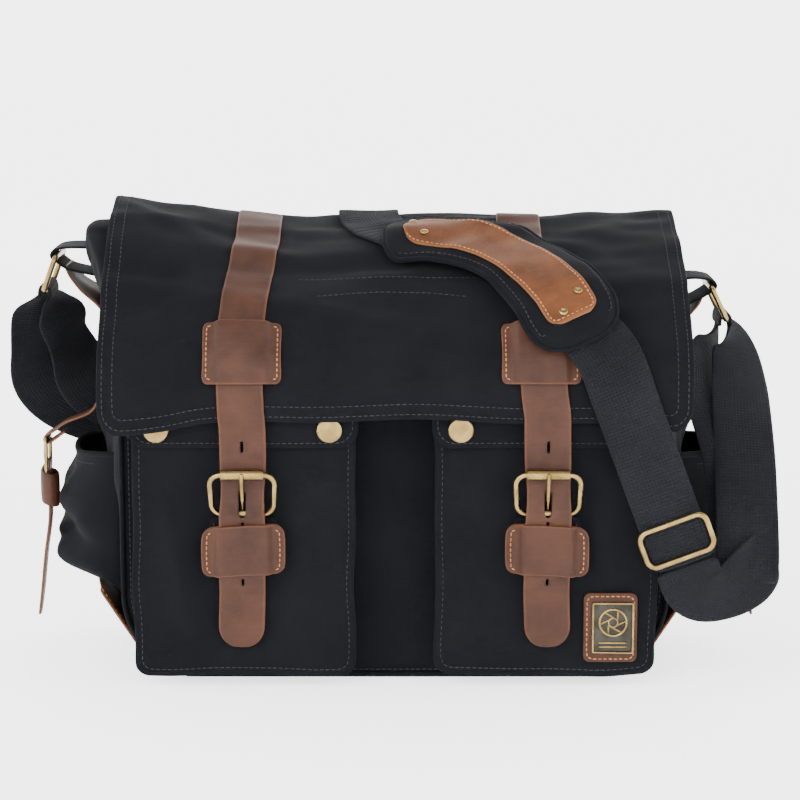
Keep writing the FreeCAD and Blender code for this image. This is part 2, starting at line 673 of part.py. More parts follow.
def keeper(centre):
    """The keeper: a backing on the buckle's tab and a front layer that rises over the strap."""
    back = tab_face()
    face = KEEPER_Y + LOOP_FACE_GAP
    front = KEEPER_Y - STRAP_LIFT - STRAP_THICK - LOOP_FACE_GAP
    inner = STRAP_WIDTH / 2 + LOOP_SIDE_GAP
    outer = inner + PATCH_THICK
    edge = KEEPER_WIDTH / 2
    z0, z1 = KEEPER_BASE, KEEPER_TOP
    pieces = [block(centre - edge, centre + edge, face, back, z0, z1),
              block(centre - outer, centre + outer, front - PATCH_THICK, front, z0, z1)]
    for sign in SIDES.values():
        rise = sorted((centre + sign * inner, centre + sign * outer))
        wing = sorted((centre + sign * inner, centre + sign * edge))
        pieces.append(block(*rise, front - PATCH_THICK, face, z0, z1))
        pieces.append(block(*wing, face - PATCH_THICK, face, z0, z1))
    return pieces[0].multiFuse(pieces[1:]).removeSplitter()


def buckle_place(centre):
    """Maps the buckle's own plane, across and up from its heel bar, into the bag's frame."""
    rise = V(0, ROLLER_AXIS[0] - HEEL[0], ROLLER_AXIS[1] - HEEL[1]).normalize()

    def place(u, v, w=0.0):
        return V(centre + u, HEEL[0], HEEL[1]) + rise * v
    return place


def buckle_frame(centre):
    height = math.dist(HEEL, ROLLER_AXIS)
    low, high = BUCKLE_WIDTH_BASE / 2, BUCKLE_WIDTH_TOP / 2
    points = [(-low, 0.0), (low, 0.0), (high, height), (-high, height)]
    return wire_loop(points, BUCKLE_BEND, BUCKLE_WIRE, buckle_place(centre))


def tube(x0, x1, y, z, outer, inner):
    solid = rod(V(x0, y, z), V(x1, y, z), outer)
    return solid.cut(rod(V(x0 - 1, y, z), V(x1 + 1, y, z), inner))


def roller(centre):
    half = ROLLER_LENGTH / 2
    return tube(centre - half, centre + half, *ROLLER_AXIS, ROLLER_OUTER, BUCKLE_WIRE + ROLLER_CLEARANCE)


def prong(centre):
    """An eye on the heel bar and a finger that goes through the strap and rests on the roller."""
    half = PRONG_WIDTH / 2
    eye = tube(centre - half, centre + half, *HEEL, PRONG_EYE, BUCKLE_WIRE + PRONG_CLEARANCE)
    root = V(centre, HEEL[0] - 1.2, HEEL[1] + 2.3)
    knee = V(centre, ROLLER_AXIS[0] - 3.9, ROLLER_AXIS[1] - 3.6)
    tip = V(centre, ROLLER_AXIS[0] - 5.1, ROLLER_AXIS[1] + 0.6)
    finger = rod(root, knee, PRONG_RADIUS).fuse(rod(knee, tip, PRONG_RADIUS))
    finger = finger.fuse(Part.makeSphere(PRONG_RADIUS, knee)).fuse(Part.makeSphere(PRONG_RADIUS, tip))
    bar = rod(V(centre - 5, *HEEL), V(centre + 5, *HEEL), BUCKLE_WIRE + PRONG_CLEARANCE)
    return eye.fuse(finger).cut(bar).removeSplitter()


def buckle_tab(centre):
    """A canvas tab folded round the heel bar on both sides of the prong."""
    face = tab_face()
    edge = TAB_WIDTH / 2
    plate = block(centre - edge, centre + edge, face, face + TAB_THICK, TAB_BASE, HEEL[1] - 4)
    inner = BUCKLE_WIRE + TAB_FOLD_CLEARANCE
    outer = inner + TAB_FOLD_THICK
    half = BUCKLE_WIDTH_BASE / 2 - BUCKLE_BEND - LOOP_FACE_GAP
    neck = block(centre - half, centre + half, face, face + TAB_THICK, HEEL[1] - 4, HEEL[1] + 1)
    fold = plate.fuse(neck).fuse(tube(centre - half, centre + half, *HEEL, outer, inner))
    fold = fold.cut(rod(V(centre - TAB_WIDTH, *HEEL), V(centre + TAB_WIDTH, *HEEL), inner))
    notch = block(centre - PRONG_NOTCH / 2, centre + PRONG_NOTCH / 2, HEEL[0] - 9, face + TAB_THICK + 1,
                  HEEL[1] - 5, HEEL[1] + 9)
    return fold.cut(notch).removeSplitter()


def build_straps():
    magnets = []
    sockets = []
    for side, sign in SIDES.items():
        centre = sign * STRAP_CENTRE
        save("leather_strap_" + side, leather_strap(centre))
        save("strap_patch_" + side, strap_patch(centre))
        save("keeper_" + side, keeper(centre))
        save("buckle_frame_" + side, buckle_frame(centre))
        save("roller_" + side, roller(centre))
        save("prong_" + side, prong(centre))
        save("buckle_tab_" + side, buckle_tab(centre))
        towards = V(0, -1, 0)
        sockets.append(Part.makeCylinder(MAGNET_RADIUS, MAGNET_SOCKET_THICK,
                                         V(centre, POCKET_FACE, MAGNET_HEIGHT), towards))
        start = V(centre, POCKET_FACE - MAGNET_SOCKET_THICK - MAGNET_GAP, MAGNET_HEIGHT)
        magnets.append(Part.makeCylinder(MAGNET_RADIUS, MAGNET_SOCKET_THICK, start, towards))
    save("magnets", *magnets)
    save("magnet_sockets", *sockets)


def build_badge():
    face = POCKET_FACE
    save("badge_patch", rounded_plate(BADGE_CENTRE, BADGE_SIZE, BADGE_CORNER, face - BADGE_THICK, face))
    face -= BADGE_THICK
    save("badge_plate", rounded_plate(BADGE_CENTRE, PLATE_SIZE, PLATE_CORNER, face - PLATE_THICK, face))


# ---------------------------------------------------------------- shoulder strap
def on_flap(x, s, n):
    y, z = path_point(FLAP_PATH, s, n)
    return V(x, y, z)


def route_turns(route):
    """Unit vectors across a route at each of its points."""
    across = []
    for i in range(len(route)):
        before, after = route[max(i - 1, 0)], route[min(i + 1, len(route) - 1)]
        dx, ds = after[0] - before[0], after[1] - before[1]
        size = math.hypot(dx, ds)
        across.append((-ds / size, dx / size))
    return across


def smooth_route(route, widths):
    """Places and widths at even steps along a smooth curve through a route's points."""
    curve = Part.BSplineCurve()
    curve.interpolate([V(*point) for point in route])
    marks = [curve.parameter(V(*point)) for point in route]
    steps = round(curve.length() / WEB_STEP)
    first, last = curve.FirstParameter, curve.LastParameter
    places, spans = [], []
    for k in range(steps + 1):
        here = first + (last - first) * k / steps
        i = max(j for j, mark in enumerate(marks[:-1]) if mark <= here + 1e-9)
        share = (here - marks[i]) / (marks[i + 1] - marks[i])
        places.append(tuple(curve.value(here)))
        spans.append(widths[i] + (widths[i + 1] - widths[i]) * share)
    return places, spans


def flap_strip(route, widths, lift, thick, cuts=6):
    """A strip that lies along a route on the flap and bends with it, both along and across."""
    rings = []
    for (x, s, n), (ax, a_s), width in zip(route, route_turns(route), widths):
        offsets = [width * (k / cuts - 0.5) for k in range(cuts + 1)]
        low = [on_flap(x + ax * o, s + a_s * o, n + lift) for o in offsets]
        high = [on_flap(x + ax * o, s + a_s * o, n + lift + thick) for o in reversed(offsets)]
        rings.append(low + high)
    return skin_loft(rings)


def web_direction():
    (x0, s0), (x1, s1) = WEB_ROUTE[-1][:2], WEB_SLIDER
    return V(x1 - x0, 0, s1 - s0).normalize()


def low_turn():
    """The webbing's turn from the slider back to the strand that hangs from the right ring."""
    y = FLAP_FRONT - WEB_LIFT - WEB_THICK / 2
    across = V(0, -1, 0).cross(web_direction())
    x_end, s_end = WEB_LOW_END
    start = V(x_end, y, FLAP_HEM + s_end) + web_direction() * STRAND_GAP
    return [(start, across), (start + web_direction() * STRAND_LEAD, across),
            (V(206.0, y + 4, 64.0), V(0.7, 0.2, 0.7)),
            (V(220.0, y + 14, 62.0), V(0.4, 0.1, 0.9)), (V(232.0, y + 26, 72.0), V(0.8, 0.3, 0.4)),
            (V(233.0, y + 32, 86.0), V(0.96, 0.2, -0.05))]


def ribbon(frames, width, thick):
    """A flat strap through a row of places, each with the direction across the strap."""
    rings = []
    last = len(frames) - 1
    for i, (middle, across) in enumerate(frames):
        along = frames[min(i + 1, last)][0] - frames[max(i - 1, 0)][0]
        across = V(across).normalize()
        normal = across.cross(along).normalize()
        across = along.cross(normal).normalize() * (width / 2)
        normal = normal * (thick / 2)
        rings.append([middle - across - normal, middle + across - normal,
                      middle + across + normal, middle - across + normal])
    return skin_loft(rings)


def build_shoulder_strap():
    route, widths = smooth_route(WEB_ROUTE, [WEB_WIDTH] * len(WEB_ROUTE))
    straight = [(*WEB_SLIDER, WEB_LIFT), (*WEB_LOW_END, WEB_LIFT)]
    save("front_webbing", flap_strip(route + straight, widths + [WEB_WIDTH] * 2, 0.0, WEB_THICK))
    save("webbing_turn", ribbon(low_turn(), WEB_WIDTH, WEB_THICK))
    route, widths = smooth_route(PAD_ROUTE, [PAD_WIDTH * share for share in PAD_TAPER])
    save("shoulder_pad", flap_strip(route, widths, 0.0, PAD_THICK))
    first, last = LEATHER_SPAN
    middle, taper = PAD_ROUTE[first:last], PAD_TAPER[first:last]
    route, widths = smooth_route(middle, [PAD_LEATHER_WIDTH * share for share in taper])
    top = PAD_THICK + LEATHER_LIFT
    save("pad_leather", flap_strip(route, widths, top, PAD_LEATHER_THICK))
    save("pad_rivets", *[pad_rivet(x, s, top + PAD_LEATHER_THICK, route) for x, s in RIVET_PLACES])


def pad_rivet(x, s, height, route):
    """A flat head on the pad's leather, at the height of the nearest place on its route."""
    nearest = min(route, key=lambda place: math.dist(place[:2], (x, s)))
    start = on_flap(x, s, nearest[2] + height + RIVET_LIFT)
    out = on_flap(x, s, nearest[2] + height + 1.0) - start
    return Part.makeCylinder(RIVET_RADIUS, RIVET_THICK, start, out)


def build_slider():
    """A wire frame over the webbing and a bar under it, joined beside the webbing's edges."""
    along = web_direction()
    across = V(0, -1, 0).cross(along)
    middle = V(WEB_SLIDER[0], 0, FLAP_HEM + WEB_SLIDER[1])
    top = FLAP_FRONT - WEB_LIFT - WEB_THICK - SLIDER_CLEARANCE - SLIDER_WIRE
    low = FLAP_FRONT - WEB_LIFT + SLIDER_CLEARANCE + SLIDER_BAR
    half_long, half_high = SLIDER_LENGTH / 2 - SLIDER_WIRE, SLIDER_HEIGHT / 2 - SLIDER_WIRE

    def place(u, v, w=0.0):
        return middle + across * u + along * v + V(0, top, 0)

    points = oblong(2 * half_long, 2 * half_high)
    pieces = [wire_loop(points, SLIDER_BEND, SLIDER_WIRE, place)]
    bar_end = across * (half_long + SLIDER_WIRE)
    bar = middle + V(0, low, 0)
    pieces.append(rod(bar - bar_end, bar + bar_end, SLIDER_BAR))
    for sign in SIDES.values():
        end = middle + across * (sign * half_long)
        pieces.append(rod(end + V(0, low, 0), end + V(0, top, 0), SLIDER_POST))
    save("slider", pieces[0].multiFuse(pieces[1:]).removeSplitter())


# ---------------------------------------------------------------- rings and hanging webbing
def beyond(side, place):
    """The (X, Z) place of a point given by its reach beyond that side's gusset."""
    return (SIDES[side] * (HALF_LENGTH + place[0]), place[1])


def ring(side):
    """A rectangular wire ring; two of its bars run along Y."""
    (x0, z0), (x1, z1) = beyond(side, RING_TOP[side]), beyond(side, RING_LOW[side])
    height = math.dist(RING_TOP[side], RING_LOW[side])

    def place(u, v, w=0.0):
        share = v / height
        return V(x0 + (x1 - x0) * share, RING_Y + u, z0 + (z1 - z0) * share)

    half = RING_WIDTH / 2
    points = [(-half, 0.0), (half, 0.0), (half, height), (-half, height)]
    return wire_loop(points, RING_BEND, RING_WIRE, place)


def ring_loop(side):
    """The webbing's fold over the ring's lower bar."""
    x, z = beyond(side, RING_LOW[side])
    inner = RING_WIRE + LOOP_CLEARANCE
    outer = inner + WEB_THICK
    y0, y1 = RING_Y - WEB_WIDTH / 2, RING_Y + WEB_WIDTH / 2
    arch = Part.makeCylinder(outer, WEB_WIDTH, V(x, y0, z), V(0, 1, 0))
    arch = arch.cut(block(x - outer, x + outer, y0, y1, z - outer, z))
    legs = block(x - outer, x + outer, y0, y1, z - LOOP_LEG, z)
    hole = Part.makeCylinder(inner, WEB_WIDTH, V(x, y0, z), V(0, 1, 0))
    slot = block(x - inner, x + inner, y0, y1, z - LOOP_LEG, z)
    return arch.fuse(legs).cut(hole).cut(slot).removeSplitter()


def strand_start(side, sign):
    """A strand's first stretch, straight down below one leg of the loop over the ring."""
    x, z = beyond(side, RING_LOW[side])
    reach = RING_WIRE + LOOP_CLEARANCE + WEB_THICK / 2
    top = V(x + sign * reach, RING_Y, z - LOOP_LEG - STRAND_GAP)
    return [(top, V(0, 1, 0)), (top - V(0, 0, STRAND_LEAD), V(0, 1, 0))]


def left_long_strand():
    """From the left ring, round behind the bag and up to the top of the back panel."""
    back = BACK + 4.0
    return strand_start("left", -1) + [
        (V(-240, 24, 206), V(0.6, 0.8, 0)), (V(-237, 36, 182), V(0.8, 0.5, 0.2)),
        (V(-224, 54, 162), V(0.7, 0.3, 0.6)), (V(-198, 72, 146), V(0.3, 0.1, 0.95)),
        (V(-160, back + 4, 142), V(-0.1, 0, 1)), (V(-120, back, 152), V(-0.4, 0, 0.92)),
        (V(-80, back, 180), V(-0.62, 0, 0.78)), (V(-46, back, 216), V(-0.8, 0, 0.6)),
        (V(-25, back, 250), V(-0.95, 0, 0.2)), (V(-18, back, 272), V(-1, 0, 0)),
        (V(-18, back, BACK_HEIGHT - 1), V(-1, 0, 0))]


def left_short_strand():
    return strand_start("left", 1) + [
        (V(-217, 26, 206), V(0.5, 0.86, 0)), (V(-210, 40, 186), V(0.75, 0.6, 0.1)),
        (V(-202, 58, 168), V(0.8, 0.4, 0.3))]


def right_outer_strand():
    return strand_start("right", 1) + [
        (V(232, 12, 188), V(0.2, 0.97, 0)), (V(238, -12, 168), V(0.4, 0.9, 0.1)),
        (V(233, -44, 146), V(0.85, 0.5, 0.1)), (V(231, -62, 122), V(0.98, 0.2, 0)),
        (V(231, -64, 104), V(0.98, 0.1, 0))]


def right_inner_strand():
    return strand_start("right", -1) + [
        (V(221, 10, 186), V(0.1, 0.99, 0)), (V(226, -14, 172), V(0.1, 0.96, 0.25)),
        (V(224, -42, 160), V(0.3, 0.85, 0.4)), (V(210, -68, 146), V(0.95, 0.2, 0.1)),
        (V(205, -72, 130), V(0.98, 0.1, 0))]


def ring_tab(side):
    route = [beyond(side, place) for place in TAB_ROUTE[side]]
    path = round_path(route, [RING_TAB_BEND] * (len(route) - 2))
    y0, y1 = RING_Y - RING_TAB_WIDTH / 2, RING_Y + RING_TAB_WIDTH / 2
    thick = RING_TAB_THICK if side == "right" else -RING_TAB_THICK
    return band(path, 0.0, thick, in_xz, y0, y1).cut(panel(BACK_HEIGHT, FRONT, BACK))


def tab_patch(side):
    path = round_path([beyond(side, place) for place in TAB_PATCH_ROUTE[side]], [TAB_PATCH_BEND])
    y0, y1 = RING_Y - TAB_PATCH_WIDTH / 2, RING_Y + TAB_PATCH_WIDTH / 2
    thick = -TAB_PATCH_THICK if side == "right" else TAB_PATCH_THICK
    return band(path, 0.0, thick, in_xz, y0, y1).cut(panel(BACK_HEIGHT, FRONT, BACK))


def build_rings():
    for side in SIDES:
        save("ring_" + side, ring(side))
        save("ring_loop_" + side, ring_loop(side))
        save("ring_tab_" + side, ring_tab(side))
    save("tab_patches", *[tab_patch(side) for side in SIDES])
    save("back_webbing", ribbon(left_long_strand(), WEB_WIDTH, WEB_THICK))
    save("left_strand", ribbon(left_short_strand(), WEB_WIDTH, WEB_THICK))
    right = [ribbon(frames, WEB_WIDTH, WEB_THICK) for frames in (right_outer_strand(), right_inner_strand())]
    save("right_strands", *right)


# ---------------------------------------------------------------- side pocket straps
def side_strap():
    route = [beyond("right", place) for place in SIDE_STRAP_ROUTE]
    path = round_path(route, [SIDE_STRAP_BEND] * (len(route) - 2))
    half = SIDE_STRAP_WIDTH / 2
    return band(path, -SIDE_STRAP_THICK, 0.0, in_xz, SIDE_STRAP_Y - half, SIDE_STRAP_Y + half)


def side_buckle():
    (x, z), (width, height) = beyond("right", SIDE_BUCKLE_CENTRE), SIDE_BUCKLE_SIZE

    def place(u, v, w=0.0):
        return V(x, SIDE_STRAP_Y + u, z + v)

    points = oblong(width, height)
    return wire_loop(points, SIDE_BUCKLE_BEND, SIDE_BUCKLE_WIRE, place)


def side_keeper():
    z0, z1 = SIDE_KEEPER_SPAN
    y0 = SIDE_STRAP_Y - SIDE_STRAP_WIDTH / 2 - 0.5
    y1 = SIDE_STRAP_Y + SIDE_STRAP_WIDTH / 2 + 0.5
    x0 = HALF_LENGTH + SIDE_POCKET_BULGE + 0.3
    x1 = x0 + 9.0
    wall = SIDE_KEEPER_THICK
    outer = block(x0, x1, y0 - wall, y1 + wall, z0, z1)
    return outer.cut(block(x0 + wall, x1 - wall, y0, y1, z0, z1))


def build_side_straps():
    buckle = side_buckle()
    loop = side_keeper()
    save("side_strap_left", mirror(side_strap()))
    save("side_strap_right", side_strap())
    save("side_buckles", mirror(buckle), buckle)
    save("side_keepers", mirror(loop), loop)


build_shell()
build_front_pockets()
build_side_pockets()
build_insert()
build_flap()
build_straps()
build_badge()
build_shoulder_strap()
build_slider()
build_rings()
build_side_straps()
for name, shape in PARTS.items():
    shape.exportStep("parts/" + name + ".step")
print(len(PARTS), "nodes")
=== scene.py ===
"""The camera bag's looks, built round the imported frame: cloth, leather, metal, light and camera."""
import bpy
import json
import math
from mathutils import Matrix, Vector, noise


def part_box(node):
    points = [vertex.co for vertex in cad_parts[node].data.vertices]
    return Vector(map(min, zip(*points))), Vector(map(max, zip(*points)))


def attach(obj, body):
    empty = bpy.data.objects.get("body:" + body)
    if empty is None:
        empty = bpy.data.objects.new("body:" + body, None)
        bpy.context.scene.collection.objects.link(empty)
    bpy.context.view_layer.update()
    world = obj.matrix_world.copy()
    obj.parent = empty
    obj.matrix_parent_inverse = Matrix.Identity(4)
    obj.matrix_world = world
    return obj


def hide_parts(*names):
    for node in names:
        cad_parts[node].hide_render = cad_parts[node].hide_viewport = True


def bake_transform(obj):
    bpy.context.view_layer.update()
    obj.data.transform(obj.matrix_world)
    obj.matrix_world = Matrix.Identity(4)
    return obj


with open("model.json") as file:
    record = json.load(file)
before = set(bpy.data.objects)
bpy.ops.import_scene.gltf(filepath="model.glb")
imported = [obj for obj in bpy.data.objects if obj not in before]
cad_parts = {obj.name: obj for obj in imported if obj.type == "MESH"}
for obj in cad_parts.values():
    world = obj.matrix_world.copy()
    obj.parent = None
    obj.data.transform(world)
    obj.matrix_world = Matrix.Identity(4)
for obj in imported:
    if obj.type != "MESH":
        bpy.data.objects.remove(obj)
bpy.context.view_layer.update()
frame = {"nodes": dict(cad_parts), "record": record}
MM = 0.001                  # sizes below are in millimetres, as in the frame's drawings
SIDES = {"left": -1, "right": 1}


def box(node):
    low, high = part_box(node)
    return low / MM, high / MM


# ---------------------------------------------------------------- sizes read from the frame
FLAP_LOW, FLAP_HIGH = box("flap_panel")
PANEL_LOW, PANEL_HIGH = box("front_panel")
BACK_HIGH = box("back_panel")[1]
HALF = PANEL_HIGH.x
FRONT, BACK = PANEL_LOW.y, BACK_HIGH.y
CORNER = 55.0               # radius of the shell's lower corners
FLAP_HALF = FLAP_HIGH.x
FLAP_THICK = 4.0
FLAP_TURN = 6.0             # bend at the back edge
FLAP_CORNER = 15.0
FLAP_POINTS = [(FLAP_LOW.y, FLAP_LOW.z), (FLAP_LOW.y, 214.9), (-16.1, 281.2), (BACK + 5.5, 286.2),
               (BACK + 5.5, 262.0)]       # (Y, Z) from the hem up, over the top and down to the seam
FLAP_RADII = [62.0, 222.0, FLAP_TURN]     # of its three bends
STRAP_X = (box("leather_strap_right")[0].x + box("leather_strap_right")[1].x) / 2
STRAP_HALF = 14.5


# ---------------------------------------------------------------- small maths
def smooth(t):
    t = min(max(t, 0.0), 1.0)
    return t * t * (3 - 2 * t)


def hump(t, middle, spread):
    return math.exp(-((t - middle) / spread) ** 2)


def rough(x, y, z, scale, seed=0.0):
    """Smooth noise from -1 to 1 at a scale in millimetres."""
    return noise.noise(Vector((x / scale + seed, y / scale - seed, z / scale + 2 * seed)))


def lerp(a, b, t):
    return tuple(p + (q - p) * t for p, q in zip(a, b))


def turns(count):
    """Angles all the way round, for a ring of that many points."""
    return [2 * math.pi * k / count for k in range(count)]


def quarter(steps, first=0):
    """Angles of a quarter turn in even steps."""
    return [math.pi / 2 * k / steps for k in range(first, steps + 1)]


def corner_cut(radius, near):
    """How much a round corner takes off a row at a distance from the edge."""
    return radius - math.sqrt(max(radius ** 2 - max(radius - near, 0.0) ** 2, 0.0))


def sideways(rows, i):
    """The direction across a route of (x, s, ...) rows at one of its rows."""
    before, after = rows[max(i - 1, 0)], rows[min(i + 1, len(rows) - 1)]
    dx, ds = after[0] - before[0], after[1] - before[1]
    size = math.hypot(dx, ds)
    return -ds / size, dx / size


def evened(rows):
    """Rows thinned to the same number of points."""
    count = min(len(row) for row in rows)
    return [[row[round(k * (len(row) - 1) / (count - 1))] for k in range(count)] for row in rows]


def catmull(points, step):
    """Even steps along a smooth curve; the first three values of a point set the spacing."""
    rows = [tuple(p) for p in points]
    rows = [lerp(rows[1], rows[0], 2.0)] + rows + [lerp(rows[-2], rows[-1], 2.0)]
    fine = []
    for i in range(1, len(rows) - 2):
        a, b, c, d = rows[i - 1:i + 3]
        for k in range(12):
            t = k / 12
            fine.append(tuple(0.5 * (2 * q + (r - p) * t + (2 * p - 5 * q + 4 * r - s) * t * t
                                     + (3 * q - p - 3 * r + s) * t ** 3) for p, q, r, s in zip(a, b, c, d)))
    fine.append(rows[-2])
    return spaced(fine, step)


def spaced(points, step):
    """The polyline resampled at even steps of about that size."""
    marks = [0.0]
    for a, b in zip(points, points[1:]):
        marks.append(marks[-1] + math.dist(a[:3], b[:3]))
    count = max(1, round(marks[-1] / step))
    result, i = [], 0
    for k in range(count + 1):
        want = marks[-1] * k / count
        while i < len(marks) - 2 and marks[i + 1] < want:
            i += 1
        span = max(marks[i + 1] - marks[i], 1e-9)
        result.append(lerp(points[i], points[i + 1], min((want - marks[i]) / span, 1.0)))
    return result


def arc_line(points, radii, step=3.0):
    """A flat polyline with rounded corners: points with radii at the inner corners."""
    line = [points[0]]
    for i, radius in enumerate(radii, start=1):
        a, b, c = (Vector((*points[k], 0)) for k in (i - 1, i, i + 1))
        d1, d2 = (b - a).normalized(), (c - b).normalized()
        turn = math.atan2(d1.x * d2.y - d1.y * d2.x, d1.dot(d2))
        reach = radius * math.tan(abs(turn) / 2)
        start = b - d1 * reach
        side = 1 if turn > 0 else -1
        centre = start + Vector((-d1.y, d1.x, 0)) * radius * side
        first = math.atan2(start.y - centre.y, start.x - centre.x)
        steps = max(3, round(radius * abs(turn) / step))
        for k in range(steps + 1):
            angle = first + turn * k / steps
            line.append((centre.x + radius * math.cos(angle), centre.y + radius * math.sin(angle)))
    line.append(points[-1])
    return line


def line_tools(line):
    marks = [0.0]
    for a, b in zip(line, line[1:]):
        marks.append(marks[-1] + math.dist(a, b))

    def at(s, n=0.0):
        i = 0
        while i < len(marks) - 2 and marks[i + 1] < s:
            i += 1
        (a, b), (c, d) = line[i], line[i + 1]
        span = marks[i + 1] - marks[i]
        t = (s - marks[i]) / span
        ux, uy = (c - a) / span, (d - b) / span
        return (a + (c - a) * t - uy * n, b + (d - b) * t + ux * n)
    return at, marks[-1]


flap_line, FLAP_TOTAL = line_tools(arc_line(FLAP_POINTS, FLAP_RADII))
FLAP_SPAN = FLAP_TOTAL - 31.0          # where the hinge line lies


# ---------------------------------------------------------------- meshes
def mesh_piece(name, points, faces, uvs, edges=None):
    """A smooth mesh from points in millimetres, with a map in millimetres and an edge attribute for wear."""
    mesh = bpy.data.meshes.new(name)
    mesh.from_pydata([(x * MM, y * MM, z * MM) for x, y, z in points], [], faces)
    layer = mesh.uv_layers.new(name="UVMap")
    for loop in mesh.loops:
        layer.data[loop.index].uv = uvs[loop.vertex_index]
    wear = mesh.attributes.new("wear", "FLOAT", "POINT")
    if edges:
        wear.data.foreach_set("value", edges)
    mesh.polygons.foreach_set("use_smooth", [True] * len(mesh.polygons))
    obj = bpy.data.objects.new(name, mesh)
    bpy.context.scene.collection.objects.link(obj)
    return obj


def apply_all(obj):
    """Turns the piece's modifiers into its mesh."""
    bpy.context.view_layer.update()
    graph = bpy.context.evaluated_depsgraph_get()
    done = bpy.data.meshes.new_from_object(obj.evaluated_get(graph), depsgraph=graph)
    obj.modifiers.clear()
    obj.data = done
    obj.data.polygons.foreach_set("use_smooth", [True] * len(obj.data.polygons))
    return obj


def soften(obj):
    soft = obj.modifiers.new("soft", "SUBSURF")
    soft.levels = 1
    soft.render_levels = 1


def ring_faces(rings, count):
    """Quads between closed rings of count points each."""
    faces = []
    for i in range(rings - 1):
        for j in range(count):
            k = (j + 1) % count
            faces.append([i * count + j, i * count + k, (i + 1) * count + k, (i + 1) * count + j])
    return faces


def grid(name, rows, thick, flip=False):
    """A sheet from rows of points on its outer face, given thickness inwards and soft edges."""
    wide = len(rows[0])
    points = [p for row in rows for p in row]
    faces = []
    for i in range(len(rows) - 1):
        for j in range(wide - 1):
            quad = [i * wide + j, i * wide + j + 1, (i + 1) * wide + j + 1, (i + 1) * wide + j]
            faces.append(quad[::-1] if flip else quad)
    uvs, v = [], 0.0
    middle = wide // 2
    for i, row in enumerate(rows):
        if i:
            v += math.dist(rows[i - 1][middle], row[middle])
        u = -sum(math.dist(row[j], row[j + 1]) for j in range(middle))
        for j, p in enumerate(row):
            uvs.append((u, v))
            if j < wide - 1:
                u += math.dist(p, row[j + 1])
    last = len(rows) - 1
    edges = [1.0 if i in (0, last) or j in (0, wide - 1) else 0.0
             for i in range(last + 1) for j in range(wide)]
    obj = mesh_piece(name, points, faces, uvs, edges)
    shell = obj.modifiers.new("thick", "SOLIDIFY")
    shell.thickness = thick * MM
    shell.offset = -1
    soften(obj)
    return apply_all(obj)


def loft(name, rings, soft=True, capped=True, worn=()):
    """A closed form through rings of points; worn lists the ring positions that are a cut edge."""
    count = len(rings[0])
    points = [p for ring in rings for p in ring]
    faces = ring_faces(len(rings), count)
    uvs, v = [], 0.0
    for i, ring in enumerate(rings):
        if i:
            v += math.dist(rings[i - 1][0], ring[0])
        u = 0.0
        for j, p in enumerate(ring):
            uvs.append((u, v))
            u += math.dist(p, ring[(j + 1) % count])
    if capped:
        faces.append(list(range(count))[::-1])
        faces.append([(len(rings) - 1) * count + j for j in range(count)])
    edges = [1.0 if j in worn else 0.0 for ring in rings for j in range(count)]
    obj = mesh_piece(name, points, faces, uvs, edges)
    if soft:
        soften(obj)
    return apply_all(obj)


STRAP_SECTION = [(-1.0, -0.3), (-1.0, 0.3), (-0.94, 0.5), (-0.5, 0.5), (0.0, 0.5), (0.5, 0.5), (0.94, 0.5),
                 (1.0, 0.3), (1.0, -0.3), (0.94, -0.5), (0.5, -0.5), (0.0, -0.5), (-0.5, -0.5), (-0.94, -0.5)]
STRAP_CUTS = (0, 1, 7, 8)


def ribbon(name, frames, thick):
    """A flat strap through (x, y, z, across x, y, z, width) frames."""
    rings = []
    last = len(frames) - 1
    for i, row in enumerate(frames):
        middle, across, width = Vector(row[:3]), Vector(row[3:6]), row[6]
        along = Vector(frames[min(i + 1, last)][:3]) - Vector(frames[max(i - 1, 0)][:3])
        normal = across.cross(along).normalized()
        across = along.cross(normal).normalized()
        rings.append([tuple(middle + across * (a * width / 2) + normal * (n * thick))
                      for a, n in STRAP_SECTION])
    return loft(name, rings, worn=STRAP_CUTS)


def tube(name, line, radius, sides=8, closed=False):
    """A round cord of cloth or wire along a line of points."""
    rings = []
    count = len(line)
    up = Vector((0.31, 0.22, 0.93))
    for i, p in enumerate(line):
        before = line[(i - 1) % count] if closed else line[max(i - 1, 0)]
        after = line[(i + 1) % count] if closed else line[min(i + 1, count - 1)]
        along = (Vector(after) - Vector(before)).normalized()
        up = (up - along * up.dot(along)).normalized()
        side = along.cross(up)
        rings.append([tuple(Vector(p) + (up * math.cos(t) + side * math.sin(t)) * radius)
                      for t in turns(sides)])
    if closed:
        rings.append(rings[0])
    return loft(name, rings, soft=False, capped=not closed)


STITCH_GAP = 1.1


def stitches(name, runs, radius, long):
    """One piece of thread for every stitch along runs of (point, normal) pairs, half sunk in the surface."""
    points, faces, uvs = [], [], []
    for run in runs:
        packed = spaced([(*p, *n) for p, n in run], long + STITCH_GAP)
        for a, b in zip(packed, packed[1:]):
            start, end = Vector(a[:3]), Vector(b[:3])
            normal = Vector(a[3:]).normalized()
            along = (end - start).normalized()
            side = along.cross(normal).normalized()
            middle = (start + end) / 2
            base = len(points)
            half = (end - start).length / 2 * long / (long + STITCH_GAP)
            for share, swell in ((-1.0, 0.25), (-0.6, 0.95), (0.6, 0.95), (1.0, 0.25)):
                for k, t in enumerate(turns(5)):
                    offset = side * math.cos(t) + normal * math.sin(t)
                    points.append(tuple(middle + along * (half * share) + offset * (radius * swell)))
                    uvs.append((k, share))
            faces += [[base + corner for corner in face] for face in ring_faces(4, 5)]
            faces.append([base + k for k in range(5)][::-1])
            faces.append([base + 15 + k for k in range(5)])
    return mesh_piece(name, points, faces, uvs)


